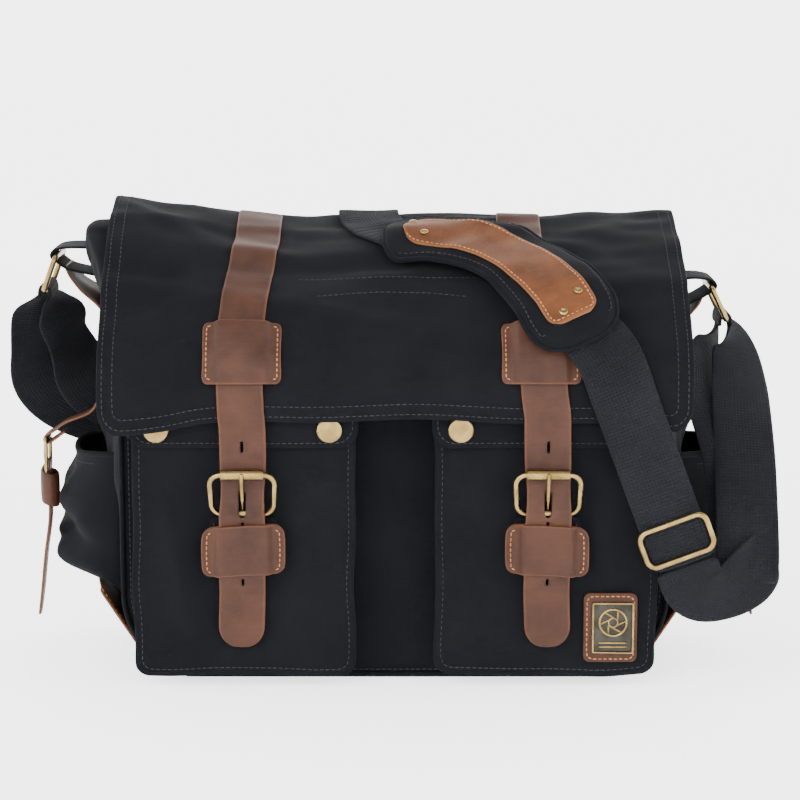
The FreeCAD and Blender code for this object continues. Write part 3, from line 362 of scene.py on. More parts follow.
def place(obj, body, material, slot, *nodes):
    """Gives a piece its material and body (slot is not used), and hides the frame's plain nodes that it
    stands for.
    """
    obj.data.materials.clear()
    obj.data.materials.append(material)
    if nodes:
        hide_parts(*nodes)
    if body:
        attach(obj, body)
    return obj


def sew(name, runs, body, slot="canvas", radius=0.33, long=2.6):
    """A piece of stitches: orange thread on leather, black thread elsewhere."""
    colour = TAN_THREAD if slot == "leather" else DARK_THREAD
    return place(stitches(name, runs, radius, long), body, colour, slot)


# ---------------------------------------------------------------- material nodes
class Nodes:
    """A material with a few short ways to add and link nodes."""

    def __init__(self, name, roughness=0.8, metallic=0.0, sheen=0.0, specular=0.5):
        self.material = bpy.data.materials.new(name)
        self.material.use_nodes = True
        self.tree = self.material.node_tree
        self.shader = self.tree.nodes["Principled BSDF"]
        self.shader.inputs["Roughness"].default_value = roughness
        self.shader.inputs["Metallic"].default_value = metallic
        self.shader.inputs["Sheen Weight"].default_value = sheen
        self.shader.inputs["Sheen Roughness"].default_value = 0.45
        self.shader.inputs["Specular IOR Level"].default_value = specular
        self.coords = self.tree.nodes.new("ShaderNodeTexCoord")

    def new(self, kind, links=None, **values):
        node = self.tree.nodes.new(kind)
        for key, value in values.items():
            if hasattr(node, key):
                setattr(node, key, value)
            else:
                node.inputs[key.replace("_", " ")].default_value = value
        for key, source in (links or {}).items():
            self.tree.links.new(source, node.inputs[key])
        return node

    def scaled(self, space, scale):
        node = self.new("ShaderNodeMapping", {"Vector": self.coords.outputs[space]})
        node.inputs["Scale"].default_value = scale
        return node.outputs["Vector"]

    def noise(self, space, scale, detail=3.0, rough_share=0.55):
        links = {"Vector": self.scaled(space, scale)}
        node = self.new("ShaderNodeTexNoise", links, Scale=1.0, Detail=detail, Roughness=rough_share)
        return node.outputs["Fac"]

    def ramp(self, source, stops):
        node = self.new("ShaderNodeValToRGB", {"Fac": source})
        ends = node.color_ramp.elements
        while len(ends) < len(stops):
            ends.new(0.5)
        for end, (position, colour) in zip(ends, stops):
            end.position = position
            end.color = (*colour, 1.0)
        return node.outputs["Color"]

    def maths(self, operation, a, b):
        node = self.new("ShaderNodeMath", operation=operation)
        for slot, value in enumerate((a, b)):
            if isinstance(value, (int, float)):
                node.inputs[slot].default_value = value
            else:
                self.tree.links.new(value, node.inputs[slot])
        return node.outputs[0]

    def mix(self, share, a, b, blend="MIX"):
        node = self.new("ShaderNodeMix", data_type="RGBA", blend_type=blend)
        for key, value in ((0, share), (6, a), (7, b)):
            if isinstance(value, (int, float)):
                node.inputs[key].default_value = value
            elif isinstance(value, tuple):
                node.inputs[key].default_value = (*value, 1.0)
            else:
                self.tree.links.new(value, node.inputs[key])
        return node.outputs[2]

    def bump(self, height, strength, distance, under=None):
        links = {"Height": height}
        if under:
            links["Normal"] = under
        node = self.new("ShaderNodeBump", links, Strength=strength, Distance=distance)
        return node.outputs["Normal"]

    def wave(self, scale, direction, distortion=0.6):
        links = {"Vector": self.scaled("UV", (scale, scale, scale))}
        node = self.new("ShaderNodeTexWave", links, wave_type="BANDS", bands_direction=direction,
                        Scale=1.0, Distortion=distortion, Detail=1.5)
        return node.outputs["Fac"]

    def done(self, colour, normal=None, roughness=None):
        self.tree.links.new(colour, self.shader.inputs["Base Color"])
        if normal:
            self.tree.links.new(normal, self.shader.inputs["Normal"])
        if roughness:
            self.tree.links.new(roughness, self.shader.inputs["Roughness"])
        return self.material


def woven(name, dark, light, pitch, depth, sheen):
    """Cloth with crossed threads of a pitch in millimetres, slubs, lint and faded patches."""
    m = Nodes(name, roughness=0.9, sheen=sheen, specular=0.07)
    threads = 0.314 / pitch
    warp = m.wave(threads, "X")
    weft = m.wave(threads, "Y")
    weave = m.maths("MAXIMUM", warp, weft)
    slubs = m.noise("UV", (0.12, 1.6, 1.0), 4.0)
    fade = m.noise("Object", (22.0, 22.0, 22.0), 4.0)
    lint = m.noise("UV", (1.9, 1.9, 1.0), 6.0, 0.8)
    tone = m.maths("ADD", m.maths("MULTIPLY", slubs, 0.45), m.maths("MULTIPLY", fade, 0.4))
    tone = m.maths("ADD", tone, m.maths("MULTIPLY", weave, 0.12))
    tone = m.maths("ADD", tone, m.maths("MULTIPLY", m.maths("SUBTRACT", lint, 0.5), 0.35))
    colour = m.ramp(tone, [(0.25, dark), (0.85, light)])
    normal = m.bump(weave, 0.5, depth * MM)
    normal = m.bump(slubs, 0.35, depth * MM, normal)
    return m.done(colour, normal)


def hide(name, deep, mid, edge):
    """Waxed pull-up leather: mottled, fine grained, rubbed lighter at its cut edges."""
    m = Nodes(name, roughness=0.5, specular=0.16)
    cloud = m.noise("Object", (38.0, 38.0, 38.0), 5.0, 0.6)
    streak = m.noise("UV", (0.06, 0.6, 1.0), 4.0, 0.6)
    cells = m.new("ShaderNodeTexVoronoi", {"Vector": m.scaled("UV", (0.85, 0.85, 1.0))}, Scale=1.0)
    grain = cells.outputs["Distance"]
    scuff = m.noise("UV", (0.7, 0.7, 1.0), 7.0, 0.75)
    tone = m.maths("ADD", m.maths("MULTIPLY", cloud, 0.8), m.maths("MULTIPLY", streak, 0.2))
    colour = m.ramp(tone, [(0.34, deep), (0.66, mid)])
    colour = m.mix(m.maths("MULTIPLY", m.maths("GREATER_THAN", scuff, 0.63), 0.25), colour, edge)
    worn = m.new("ShaderNodeAttribute", attribute_name="wear").outputs["Fac"]
    ragged = m.maths("MULTIPLY", worn, m.maths("ADD", m.noise("UV", (0.4, 0.4, 1.0), 3.0), 0.1))
    colour = m.mix(m.maths("MINIMUM", ragged, 1.0), colour, edge)
    normal = m.bump(grain, 0.25, 0.25 * MM)
    normal = m.bump(scuff, 0.15, 0.3 * MM, normal)
    shine = m.maths("ADD", m.maths("MULTIPLY", scuff, 0.3), 0.4)
    return m.done(colour, normal, shine)


def metal(name, bright, dark, roughness):
    """Cast metal with a brown patina in patches and fine scratches."""
    m = Nodes(name, roughness=roughness, metallic=1.0)
    patina = m.noise("Object", (110.0, 110.0, 110.0), 3.0, 0.5)
    fine = m.noise("Object", (900.0, 900.0, 300.0), 3.0)
    colour = m.ramp(patina, [(0.25, dark), (0.6, bright)])
    shine = m.maths("ADD", m.maths("MULTIPLY", patina, -0.25), roughness + 0.14)
    return m.done(colour, m.bump(fine, 0.12, 0.1 * MM), shine)


def thread(name, dark, light):
    m = Nodes(name, roughness=0.8, specular=0.2)
    twist = m.noise("Object", (700.0, 700.0, 700.0), 2.0)
    return m.done(m.ramp(twist, [(0.3, dark), (0.7, light)]), m.bump(twist, 0.3, 0.2 * MM))


CANVAS = woven("black_canvas", (0.0012, 0.0013, 0.0019), (0.0062, 0.0065, 0.0086), 0.75, 0.22, 0.014)
WEBBING = woven("ribbed_webbing", (0.0018, 0.0019, 0.0026), (0.014, 0.0146, 0.018), 2.2, 1.0, 0.02)
LINING = woven("grey_lining", (0.05, 0.052, 0.06), (0.12, 0.122, 0.13), 1.0, 0.3, 0.1)
LEATHER = hide("brown_leather", (0.021, 0.0072, 0.0038), (0.048, 0.0185, 0.0098), (0.12, 0.047, 0.02))
# The pad's leather is the brown leather painted lighter: a painted highlight for the light falling on the
# pad.
PAD_LEATHER_PAINTED_HIGHLIGHT = hide("pad_leather_painted_highlight", (0.050, 0.0160, 0.0046), (0.108, 0.037, 0.0115), (0.17, 0.066, 0.024))
BRASS = metal("antique_brass", (0.27, 0.185, 0.068), (0.145, 0.095, 0.034), 0.26)
PLATE = metal("antique_plate", (0.045, 0.042, 0.034), (0.02, 0.018, 0.015), 0.45)
DARK_THREAD = thread("black_thread", (0.009, 0.0094, 0.0115), (0.027, 0.028, 0.033))
TAN_THREAD = thread("orange_thread", (0.24, 0.085, 0.027), (0.44, 0.19, 0.072))
KEPT = {"brass": BRASS, "plate": PLATE, "steel": PLATE, "leather": LEATHER}


# ---------------------------------------------------------------- camera, light and floor
def build_stage():
    target = Vector((0.003, 0.0, 0.170))
    lift = math.radians(10.0)
    away = 1.66
    camera = bpy.data.objects.new("camera", bpy.data.cameras.new("camera"))
    camera.data.lens = 113.85
    camera.data.sensor_width = 36.0
    camera.location = target + Vector((0.0, -math.cos(lift), math.sin(lift))) * away
    camera.rotation_euler = (math.pi / 2 - lift, 0.0, 0.0)
    bpy.context.scene.collection.objects.link(camera)
    bpy.context.scene.camera = camera

    flat, bend, top, spokes = 2.4, 1.2, 3.4, 64
    profile = [(0.02, 0.0), (1.2, 0.0), (flat, 0.0)]
    profile += [(flat + bend * math.sin(t), bend - bend * math.cos(t)) for t in quarter(12, 1)]
    profile.append((flat + bend, top))
    points = [(radius * math.cos(t), radius * math.sin(t), z - 0.0005)
              for radius, z in profile for t in turns(spokes)]
    faces = ring_faces(len(profile), spokes) + [list(range(spokes))[::-1]]
    sweep = bpy.data.meshes.new("floor")
    sweep.from_pydata(points, [], [face[::-1] for face in faces])
    sweep.polygons.foreach_set("use_smooth", [True] * len(sweep.polygons))
    ground = bpy.data.objects.new("floor", sweep)
    bpy.context.scene.collection.objects.link(ground)
    paint = Nodes("pale_floor", roughness=0.8, specular=0.1)
    paint.shader.inputs["Emission Color"].default_value = (1.0, 1.0, 1.0, 1.0)
    paint.shader.inputs["Emission Strength"].default_value = 1.9
    sweep.materials.append(paint.done(paint.ramp(paint.noise("Object", (3.0, 3.0, 3.0)),
                                                 [(0.0, (0.9, 0.9, 0.9)), (1.0, (0.93, 0.93, 0.93))])))

    world = bpy.data.worlds.new("studio")
    world.use_nodes = True
    world.node_tree.nodes["Background"].inputs["Color"].default_value = (1.0, 1.0, 1.0, 1.0)
    world.node_tree.nodes["Background"].inputs["Strength"].default_value = 0.5
    bpy.context.scene.world = world
    lamps = (("key", (-0.9, -1.5, 1.6), 1.1, 26.0), ("fill", (1.3, -1.3, 1.0), 1.4, 5.0),
             ("top", (0.1, 0.2, 1.9), 1.2, 12.0))
    for name, place_at, size, power in lamps:
        lamp = bpy.data.lights.new(name, "AREA")
        lamp.size = size
        lamp.energy = power
        obj = bpy.data.objects.new(name, lamp)
        obj.location = place_at
        obj.rotation_euler = (Vector((0, 0, 0.15)) - Vector(place_at)).to_track_quat("-Z", "Y").to_euler()
        bpy.context.scene.collection.objects.link(obj)


# ---------------------------------------------------------------- the flap's surface
def slump(x, s):
    """How far the soft flap stands off its straight line, in millimetres."""
    t = s / FLAP_SPAN
    left, right = smooth((-x - 75) / 105), smooth((x - 90) / 95)
    stand = smooth((t - 0.35) / 0.4) * smooth((1.18 - t) / 0.25)
    stand *= 15.0 * left + 3.0 * right
    stand -= 3.2 * smooth((t - 0.4) / 0.3) * smooth((0.97 - t) / 0.2) * (1 - left)
    stand += 2.2 * hump(t, 0.70 + 0.05 * math.sin(x / 55), 0.035) * smooth((150 - abs(x)) / 60)
    stand -= 1.6 * hump(t, 0.61 + 0.05 * math.sin(x / 55), 0.05) * smooth((150 - abs(x)) / 60)
    stand += 1.8 * hump(t, 0.36 - x / 1400, 0.03) * smooth((-60 - x) / 60)
    stand += 1.5 * hump(t, 0.88 + x / 1600, 0.03)
    free = smooth(s / 40) * smooth((FLAP_TOTAL - s) / 20)
    calm = 1 - 0.55 * hump(abs(x), STRAP_X, 26)
    stand += free * calm * (4.0 * rough(x, s * 1.6, 0, 66.0) + 1.9 * rough(x, s * 1.8, 0, 27.0, 3.0))
    stand += free * calm * 2.0 * hump(s + 0.5 * x, 96 + 5 * math.sin(x / 19), 8) * smooth((-70 - x) / 40)
    stand += free * calm * 1.6 * hump(s - 0.45 * x + 6 * math.sin(x / 23), 118, 7) * smooth((x - 20) / 40)
    stand += free * calm * 1.5 * hump(s + 0.22 * x + 9 * math.sin(x / 37), 62, 7)
    stand -= free * calm * 1.3 * hump(s - 0.3 * x + 7 * math.sin(x / 29), 40, 8)
    stand += (1 - smooth(s / 60)) * (1.0 + math.sin(x / 31.0 + 0.6)) * 0.9
    return stand


def flap_at(x, s, n=0.0):
    """The point at X and at distance s up from the flap's hem, n millimetres off its outer face."""
    y, z = flap_line(s, n + (slump(x, s) if s > 0 else slump(x, 0.0)))
    return (x, y, z)


def flap_out(x, s):
    inner, outer = flap_at(x, s), flap_at(x, s, 1.0)
    return tuple(b - a for a, b in zip(inner, outer))


def hem_at(x):
    """The lower edge hangs a little lower at both corners."""
    wave = 1.8 * math.cos(x / 60.0) + 0.9 * math.sin(x / 19.0 + 0.7)
    return 3.9 + wave - 3.5 * smooth((abs(x) - 120) / 60) - 2.2 * smooth((-115 - x) / 30)


def flap_width(s):
    corner = FLAP_CORNER
    if s >= corner:
        return FLAP_HALF
    return FLAP_HALF - corner + math.sqrt(max(corner ** 2 - (corner - s) ** 2, 0.0))


def stepped(low, high, step, margin=2.0):
    """Even steps with a narrow first and last one, which keep a cut edge crisp."""
    count = max(2, round((high - low - 2 * margin) / step))
    inner = [low + margin + (high - low - 2 * margin) * k / count for k in range(count + 1)]
    return [low] + inner + [high]


def build_flap():
    rows = []
    for s in stepped(0.0, FLAP_TOTAL, 5.0, 1.5):
        half = flap_width(s + 0.4)
        row = []
        for share in stepped(-1.0, 1.0, 0.028, 0.006):
            x = share * half
            row.append(flap_at(x, hem_at(x) + s * (1 - hem_at(x) / FLAP_TOTAL)))
        rows.append(row)
    flap = grid("flap_cloth", rows, FLAP_THICK - 0.6)
    place(flap, None, CANVAS, "canvas", "flap_panel")
    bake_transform(flap)

    def edge_run(inset):
        corner = FLAP_CORNER - inset
        half, low = FLAP_HALF - inset, inset
        line = [(half, s) for s in range(int(FLAP_SPAN) - 6, int(low + corner), -6)]
        line += [(half - corner + corner * math.cos(t), low + corner - corner * math.sin(t))
                 for t in quarter(6)]
        line += [(x, low) for x in range(int(half - corner) - 8, 0, -8)]
        line += [(-x, s) for x, s in reversed(line)]
        return [(flap_at(x, s + hem_at(x) * (1 - s / FLAP_TOTAL), 0.05), flap_out(x, s)) for x, s in line]

    runs = [edge_run(3.5), edge_run(10.0)]
    runs.append([(flap_at(x, 92.0 + 5 * math.cos(x / 32), 0.05), flap_out(x, 92.0))
                 for x in range(-50, 50, 5)])
    runs.append([(flap_at(x, 112.0, 0.05), flap_out(x, 112.0)) for x in range(-62, 58, 6)])
    thread_piece = sew("flap_stitches", runs, "flap")


# ---------------------------------------------------------------- shell
def roof(y):
    """Z of the flap's underside above a Y."""
    best = 400.0
    for k in range(60):
        py, pz = flap_line(FLAP_SPAN * k / 60, -FLAP_THICK)
        if abs(py - y) < 5.0:
            best = min(best, pz)
    return best if best < 400 else FLAP_HIGH.z - FLAP_THICK


def taper(y):
    """How far the soft front corners draw in, against the back."""
    return -9.0 * smooth((8.0 - y) / (8.0 - FRONT))


def side_swell(side, y, z):
    """How far the soft side stands out beyond the frame's flat gusset."""
    share = max(0.0, 1 - (y / (BACK - 0.6)) ** 2) ** 0.5
    low, top = {"left": (8.0, 18.0), "right": (6.0, 5.0)}[side]
    swell = low * smooth((z - 70) / 70) + (top - low) * smooth((z - 205) / 55)
    swell -= 4.0 * hump(z, 196, 22) * (1 if side == "left" else 0.4)
    swell += (3.2 * hump(z - 0.35 * y, 238, 9) - 3.4 * hump(z - 0.35 * y, 224, 9)
              + 2.6 * hump(z + 0.5 * y, 160, 9))
    swell += smooth((z - 20) / 60) * (4.2 * rough(0, y, z, 36.0, 5.0) + 2.0 * rough(0, y, z, 15.0, 7.0))
    return share * swell


def side_section(side, y):
    """The gusset's outline at one Y, from the middle of the base up to its top edge under the flap."""
    sign = SIDES[side]
    top = roof(y) - 3.5
    flat = HALF - CORNER
    line = [(flat * k / 12, 0.15) for k in range(12)]
    line += [(flat + CORNER * math.sin(t), CORNER - CORNER * math.cos(t)) for t in quarter(12)]
    curl = 13.0
    line += [(HALF, CORNER + (top - curl - CORNER) * k / 34) for k in range(1, 35)]
    line += [(HALF - curl + curl * math.cos(t), top - curl + curl * math.sin(t)) for t in quarter(6, 1)]
    line += [(HALF - curl - 7 * k, top - 1.2 * k) for k in range(1, 4)]
    section = []
    for k, (x, z) in enumerate(line):
        rise = smooth(z / 40) * (1.0 if k < 60 else max(0.0, 1 - (k - 59) * 0.12))
        puff = math.sin(math.pi * min(max(k - 50, 0) / 16, 1.0)) * max(0.0, 1 - (y / (BACK - 0.6)) ** 2)
        out = x + taper(y) * x / HALF + side_swell(side, y, z) * rise
        section.append((sign * out, y, z + puff * (26.0 if side == "left" else 3.0)))
    return section


def panel_half(z):
    """Half the panel's width at a height, narrower at the round lower corners."""
    if z >= CORNER:
        return HALF
    return HALF - CORNER + math.sqrt(max(CORNER ** 2 - (CORNER - z) ** 2, 0.0))


def panel_rows(y, top, sign, crown):
    rows = []
    narrow = 1 + taper(y) / HALF
    for z in [0.2, 1.0, 3.0, 6.0, 10.0, 15.0] + [15 + (top - 15) * k / 34 for k in range(1, 35)]:
        half = panel_half(z)
        row = []
        for k in range(61):
            x = half * (2 * k / 60 - 1)
            share = (1 - (x / HALF) ** 4) * smooth(z / 60) * smooth((top + 30 - z) / 60)
            folds = 2.4 * rough(x, y, z, 45.0, 2.0) + 1.1 * rough(x, y, z, 18.0, 4.0)
            row.append((x * narrow, y + sign * (crown * share + share * folds), z))
        rows.append(row)
    return rows


def panel_edge(y, top, inset, steps):
    """A panel's outline from its top left down, along the base and up again, drawn in like the panel."""
    radius = CORNER - inset
    line = [(-(HALF - inset), z) for z in range(int(top), int(CORNER), -6)]
    line += [(-(HALF - CORNER) - radius * math.cos(t), CORNER - radius * math.sin(t)) for t in quarter(steps)]
    line += [(x, inset) for x in range(-int(HALF - CORNER) + 8, 0, 8)]
    line += [(-x, z) for x, z in reversed(line)]
    narrow = 1 + taper(y) / HALF
    return [(x * narrow, z) for x, z in line]


def build_shell():
    front = grid("front_cloth", panel_rows(FRONT, PANEL_HIGH.z, -1, 1.0), 2.2)
    place(front, "root", CANVAS, "canvas", "front_panel")
    back = grid("back_cloth", panel_rows(BACK, BACK_HIGH.z, 1, 4.0), 2.2, flip=True)
    place(back, "root", CANVAS, "canvas", "back_panel")
    rows = []
    for k in range(33):
        y = FRONT + 0.4 + (BACK - FRONT - 0.8) * k / 32
        left, right = side_section("left", y), side_section("right", y)
        rows.append(left[::-1] + right[1:])
    for place_at, way, edge in ((0, 1, rows[0]), (len(rows) + 1, -1, rows[-1])):
        rows.insert(place_at, [(x * 0.967, y + 2.6 * way, z + 2.6 * (1 - z / 300)) for x, y, z in edge])
    shell = grid("bag_shell", rows, 2.2, flip=True)
    place(shell, "root", CANVAS, "canvas", "gusset_left", "gusset_right", "bottom_panel")
    piping = (("front_piping", FRONT - 0.6, PANEL_HIGH.z), ("back_piping", BACK + 0.8, BACK_HIGH.z - 2))
    for name, y, top in piping:
        outline = [(x, y, max(z, 1.4)) for x, z in panel_edge(y, top, 0.0, 14)]
        place(tube(name, outline, 1.7), "root", CANVAS, "canvas")
    runs = []
    for y, sign, top in ((FRONT - 1.2, -1, PANEL_HIGH.z), (BACK + 1.0, 1, BACK_HIGH.z - 8)):
        out = y + (0.9 if sign > 0 else 0.0)
        runs.append([((x, out, z), (0, sign, 0)) for x, z in panel_edge(y, top, 5.0, 12)])
    sew("shell_stitches", runs, "root")


def build_base_leather():
    for side, sign in SIDES.items():
        low, high = box("leather_base_" + side)
        arc = [(HALF - CORNER + CORNER * math.sin(t), CORNER - CORNER * math.cos(t))
               for t in (math.radians(22 + 36 * k / 8) for k in range(9))]
        x1, z1 = arc[-1]
        tip = max(abs(low.x), abs(high.x))
        arc += [(x1 + (tip - x1) * k / 5, z1 + (high.z - z1) * k / 5) for k in range(1, 6)]

        def at(x, y, z, lift):
            out = x + taper(y) * x / HALF + side_swell(side, y, z) * smooth(z / 40)
            return (sign * (out + 1.6 + lift), y, z - lift * 0.4)
        rows = [[at(x, y, z, 0.0) for y in stepped(low.y - 4, high.y + 2, 6.0, 1.2)] for x, z in arc]
        base = grid("base_leather_" + side, rows, 1.8, flip=sign > 0)
        place(base, "root", LEATHER, "leather", "leather_base_" + side)
        ends = [[(at(x, y, z, 0.1), (sign, 0, -0.4)) for x, z in arc] for y in (low.y - 1, high.y - 1)]
        x, z = arc[-1]
        top = [(at(x, y, z - 3.0, 0.1), (sign, 0, -0.3)) for y in range(int(low.y) - 2, int(high.y), 5)]
        sew("base_stitches_" + side, ends + [top], "root", "leather", 0.42, 3.0)


# ---------------------------------------------------------------- front pockets
def pocket_outline(x0, x1, z0, z1, inset, radius):
    """The three sewn sides of a pocket seen from the front, from its top left down, along and up again."""
    a, b, c = x0 + inset, x1 - inset, z0 + inset
    points = [(a, z1), (a, c), (b, c), (b, z1)]
    return spaced([(*p, 0.0) for p in arc_line(points, [radius, radius])], 5.5)


POCKET_SEED = {"left": 11.0, "right": 17.0}


def pocket_drift(x, z, seed):
    """The soft pocket's edges wander a little from straight lines."""
    lift = 3.6 * (1 - smooth(z / 70)) + 0.7 * math.cos(x / 21.0 + seed)
    return (1.6 * rough(0, 0, z, 45.0, seed), 1.5 * rough(x, 0, 0, 38.0, seed + 3) + lift)


def pocket_swell(side, x, z, low, high):
    """How far the pocket's face bellies out; it lies flat under the strap and the badge."""
    seed = POCKET_SEED[side]
    middle = (low.x + high.x) / 2
    edge = min(x - low.x, high.x - x, z - low.z)
    free = smooth((abs(x - SIDES[side] * STRAP_X) - 22) / 16) * smooth((high.z - 24 - z) / 16)
    if side == "right":
        badge_low, badge_high = box("badge_patch")
        away = max(badge_low.x - x, x - badge_high.x, badge_low.z - z, z - badge_high.z)
        free *= smooth((away - 3) / 12)
    swell = 1.6 + 3.6 * rough(x, 0, z, 46.0, seed) + 1.9 * rough(x, 0, z, 19.0, seed + 2)
    crease = 2.2 * hump(x - middle + 0.25 * (z - 90), -44 if side == "left" else 38, 5)
    crease -= 2.0 * hump(z - 0.35 * (x - middle), 40, 6) * smooth(-(x - middle) / 30)
    crease += 1.8 * hump(z + 0.3 * (x - middle), 150, 7)
    return smooth(edge / 24) * (0.5 + free * max(-4.0, min(swell + crease, 5.0)))


def build_front_pockets():
    for side in SIDES:
        low, high = box("front_pocket_" + side)
        seed = POCKET_SEED[side]
        depth = high.y - low.y
        round_corner = 9.0
        rows = []
        for share, inset in ((0.94, 0.0), (0.72, 2.8), (0.52, 5.0), (0.3, 3.6), (0.08, 0.8), (0.0, 0.0)):
            y = low.y + depth * share
            outline = pocket_outline(low.x, high.x, low.z, high.z, inset, round_corner)
            row = []
            for x, z, _ in outline:
                dx, dz = pocket_drift(x, z, seed)
                row.append((x + dx, y, max(z + dz, 0.8)))
            rows.append(row)
        wall = grid("pocket_bellows_" + side, evened(rows), 1.6)
        place(wall, "root", CANVAS, "canvas")
        rim = 1.3
        x0, x1, z0 = low.x - rim, high.x + rim, low.z - rim
        face = []
        for z in stepped(z0, high.z, 4.0, 1.2):
            corner = corner_cut(round_corner, z - z0)
            row = []
            for x in stepped(x0 + corner, x1 - corner, 4.0, 1.2):
                edge = min(x - x0, x1 - x, z - z0 - corner * 0.3)
                welt = 1.4 * (1 - smooth(abs(edge - 1.8) / 2.0))
                dx, dz = pocket_drift(x, z, seed)
                row.append((x + dx, low.y - welt - pocket_swell(side, x, z, low, high), max(z + dz, 0.6)))
            face.append(row)
        front = grid("pocket_face_" + side, evened(face), 1.6)
        place(front, "root", CANVAS, "canvas", "front_pocket_" + side)
        run = []
        for x, z, _ in pocket_outline(x0, x1, z0, high.z, 4.8, round_corner - 4.0):
            dx, dz = pocket_drift(x, z, seed)
            run.append(((x + dx, low.y - 0.1 - pocket_swell(side, x, z, low, high), z + dz), (0, -1, 0)))
        sew("pocket_stitches_" + side, [run], "root", radius=0.36)


def build_magnet_covers():
    """Cloth over the sockets in the pocket faces and leather over the magnets behind the keepers."""
    covers = (("socket_cover", "root", CANVAS, "canvas", "magnet_sockets", 1.2),
              ("magnet_cover", "flap", LEATHER, "leather", "magnets", 0.5))
    for name, body, material, slot, node, grow in covers:
        low, high = box(node)
        middle_z = (low.z + high.z) / 2
        radius = (high.z - low.z) / 2 + grow
        for side, sign in SIDES.items():
            rings = []
            for share, y in ((0.96, high.y), (1.0, high.y - 0.4), (1.0, low.y + 0.7), (0.93, low.y + 0.1),
                             (0.5, low.y - 0.1)):
                reach = radius * share
                rings.append([(sign * STRAP_X + reach * math.cos(t), y, middle_z + reach * math.sin(t))
                              for t in turns(32)])
            cover = loft(name + "_" + side, rings)
            place(cover, body, material, slot, *([node] if side == "left" else []))


def pocket_flap_at(side, x, v, n=0.0):
    """v runs from 0 at the hinge line to 1 at the hem."""
    low, high = box("pocket_flap_" + side)
    face = low.y + 0.2
    line = [(high.y - 1.0, high.z - 0.6), (face + 5.0, high.z - 10.5), (face, high.z - 17),
            (face - 0.2, low.z)]
    path, total = line_tools(arc_line(line, [6.0, 6.0]))
    wave = 0.7 * math.sin(x / 17.0) * smooth((v - 0.5) / 0.5)
    y, z = path(total * v, -n - max(wave, -0.4))
    return (x, y, z)


def build_pocket_flaps():
    for side in SIDES:
        low, high = box("pocket_flap_" + side)
        middle = (low.x + high.x) / 2
        corner, length = 11, 56
        rows = []
        for v in stepped(0.0, 1.0, 0.075, 0.02):
            into = max(0.0, v * length - length + corner)
            half = (high.x - low.x) / 2 - corner + math.sqrt(max(corner ** 2 - into ** 2, 0.0))
            shares = stepped(-1, 1, 0.05, 0.012)
            rows.append([pocket_flap_at(side, middle + share * half, v) for share in shares])
        flap = grid("pocket_flap_cloth_" + side, rows, 2.0, flip=True)
        place(flap, "pocket_flap_" + side, CANVAS, "canvas", "pocket_flap_" + side)
        x0, x1 = low.x + 3.5, high.x - 3.5
        line = [(x0, v / 20) for v in range(2, 17)] + [(x0 + 3, 0.9), (x0 + 7, 0.94)]
        line += [(x, 0.945) for x in range(int(x0) + 12, int(x1) - 11, 6)]
        line += [(x1 - 7, 0.94), (x1 - 3, 0.9)] + [(x1, v / 20) for v in range(16, 1, -1)]
        runs = [[(pocket_flap_at(side, x, v, 0.05), (0, -1, 0)) for x, v in line]]
        sew("pocket_flap_stitches_" + side, runs, "pocket_flap_" + side)


# ---------------------------------------------------------------- side pockets
def side_pocket_at(side, y, t, n=0.0):
    """t runs from 0 at the seam under the pocket to 1 at its mouth."""
    sign = SIDES[side]
    low, high = box("side_pocket_" + side)
    reach = max(abs(low.x), abs(high.x)) - HALF
    z = low.z - 14 + (high.z - low.z + 14) * t
    half = (high.y - low.y) / 2
    across = max(0.0, 1 - (y / half) ** 2) ** 0.42
    body = smooth(t / 0.22) * (0.98 + 0.1 * math.sin(t * 3.0)) - 0.3 * smooth((t - 0.5) / 0.45)
    seed = 21.0 if side == "left" else 27.0
    slack = 5.0 * rough(0, y, z, 27.0, seed) + 2.4 * rough(0, y, z, 12.0, seed)
    crease = -9.0 * hump(z - 0.5 * y, 100, 9) + 3.5 * hump(z - 0.4 * y, 116, 9)
    crease -= 5.0 * hump(z + 0.8 * y, 74, 6)
    stand = across * (reach * body + (slack + crease) * smooth(t / 0.2) * smooth((1.05 - t) / 0.2))
    base = side_swell(side, y, z) * smooth((z - 20) / 60) + 1.2
    out = max(min(stand, reach + 4.0), base * min(1.0, across * 3))
    return (sign * (HALF + taper(y) * (1 - 0.6 * body * across) + out + n), y,
            z + 1.6 * math.sin(y / 11.0) * smooth((t - 0.7) / 0.3))


def build_side_pockets():
    for side, sign in SIDES.items():
        low, high = box("side_pocket_" + side)
        rows = [[side_pocket_at(side, y, t) for y in stepped(low.y, high.y, 4.0, 1.0)]
                for t in stepped(0, 1, 0.04, 0.012)]
        pocket = grid("side_pocket_cloth_" + side, rows, 2.0, flip=sign < 0)
        place(pocket, "root", CANVAS, "canvas", "side_pocket_" + side)
        rim = [side_pocket_at(side, y, 1.0, -0.6) for y in stepped(low.y, high.y, 5.0, 1.0)]
        place(tube("side_pocket_binding_" + side, rim, 1.9), "root", CANVAS, "canvas")
        runs = [[(side_pocket_at(side, y, t, 0.1), (sign, 0, 0))
                 for y in range(int(low.y) + inset, int(high.y) - inset + 1, 4)]
                for t, inset in ((0.93, 6), (0.06, 4))]
        sew("side_pocket_stitches_" + side, runs, "root")


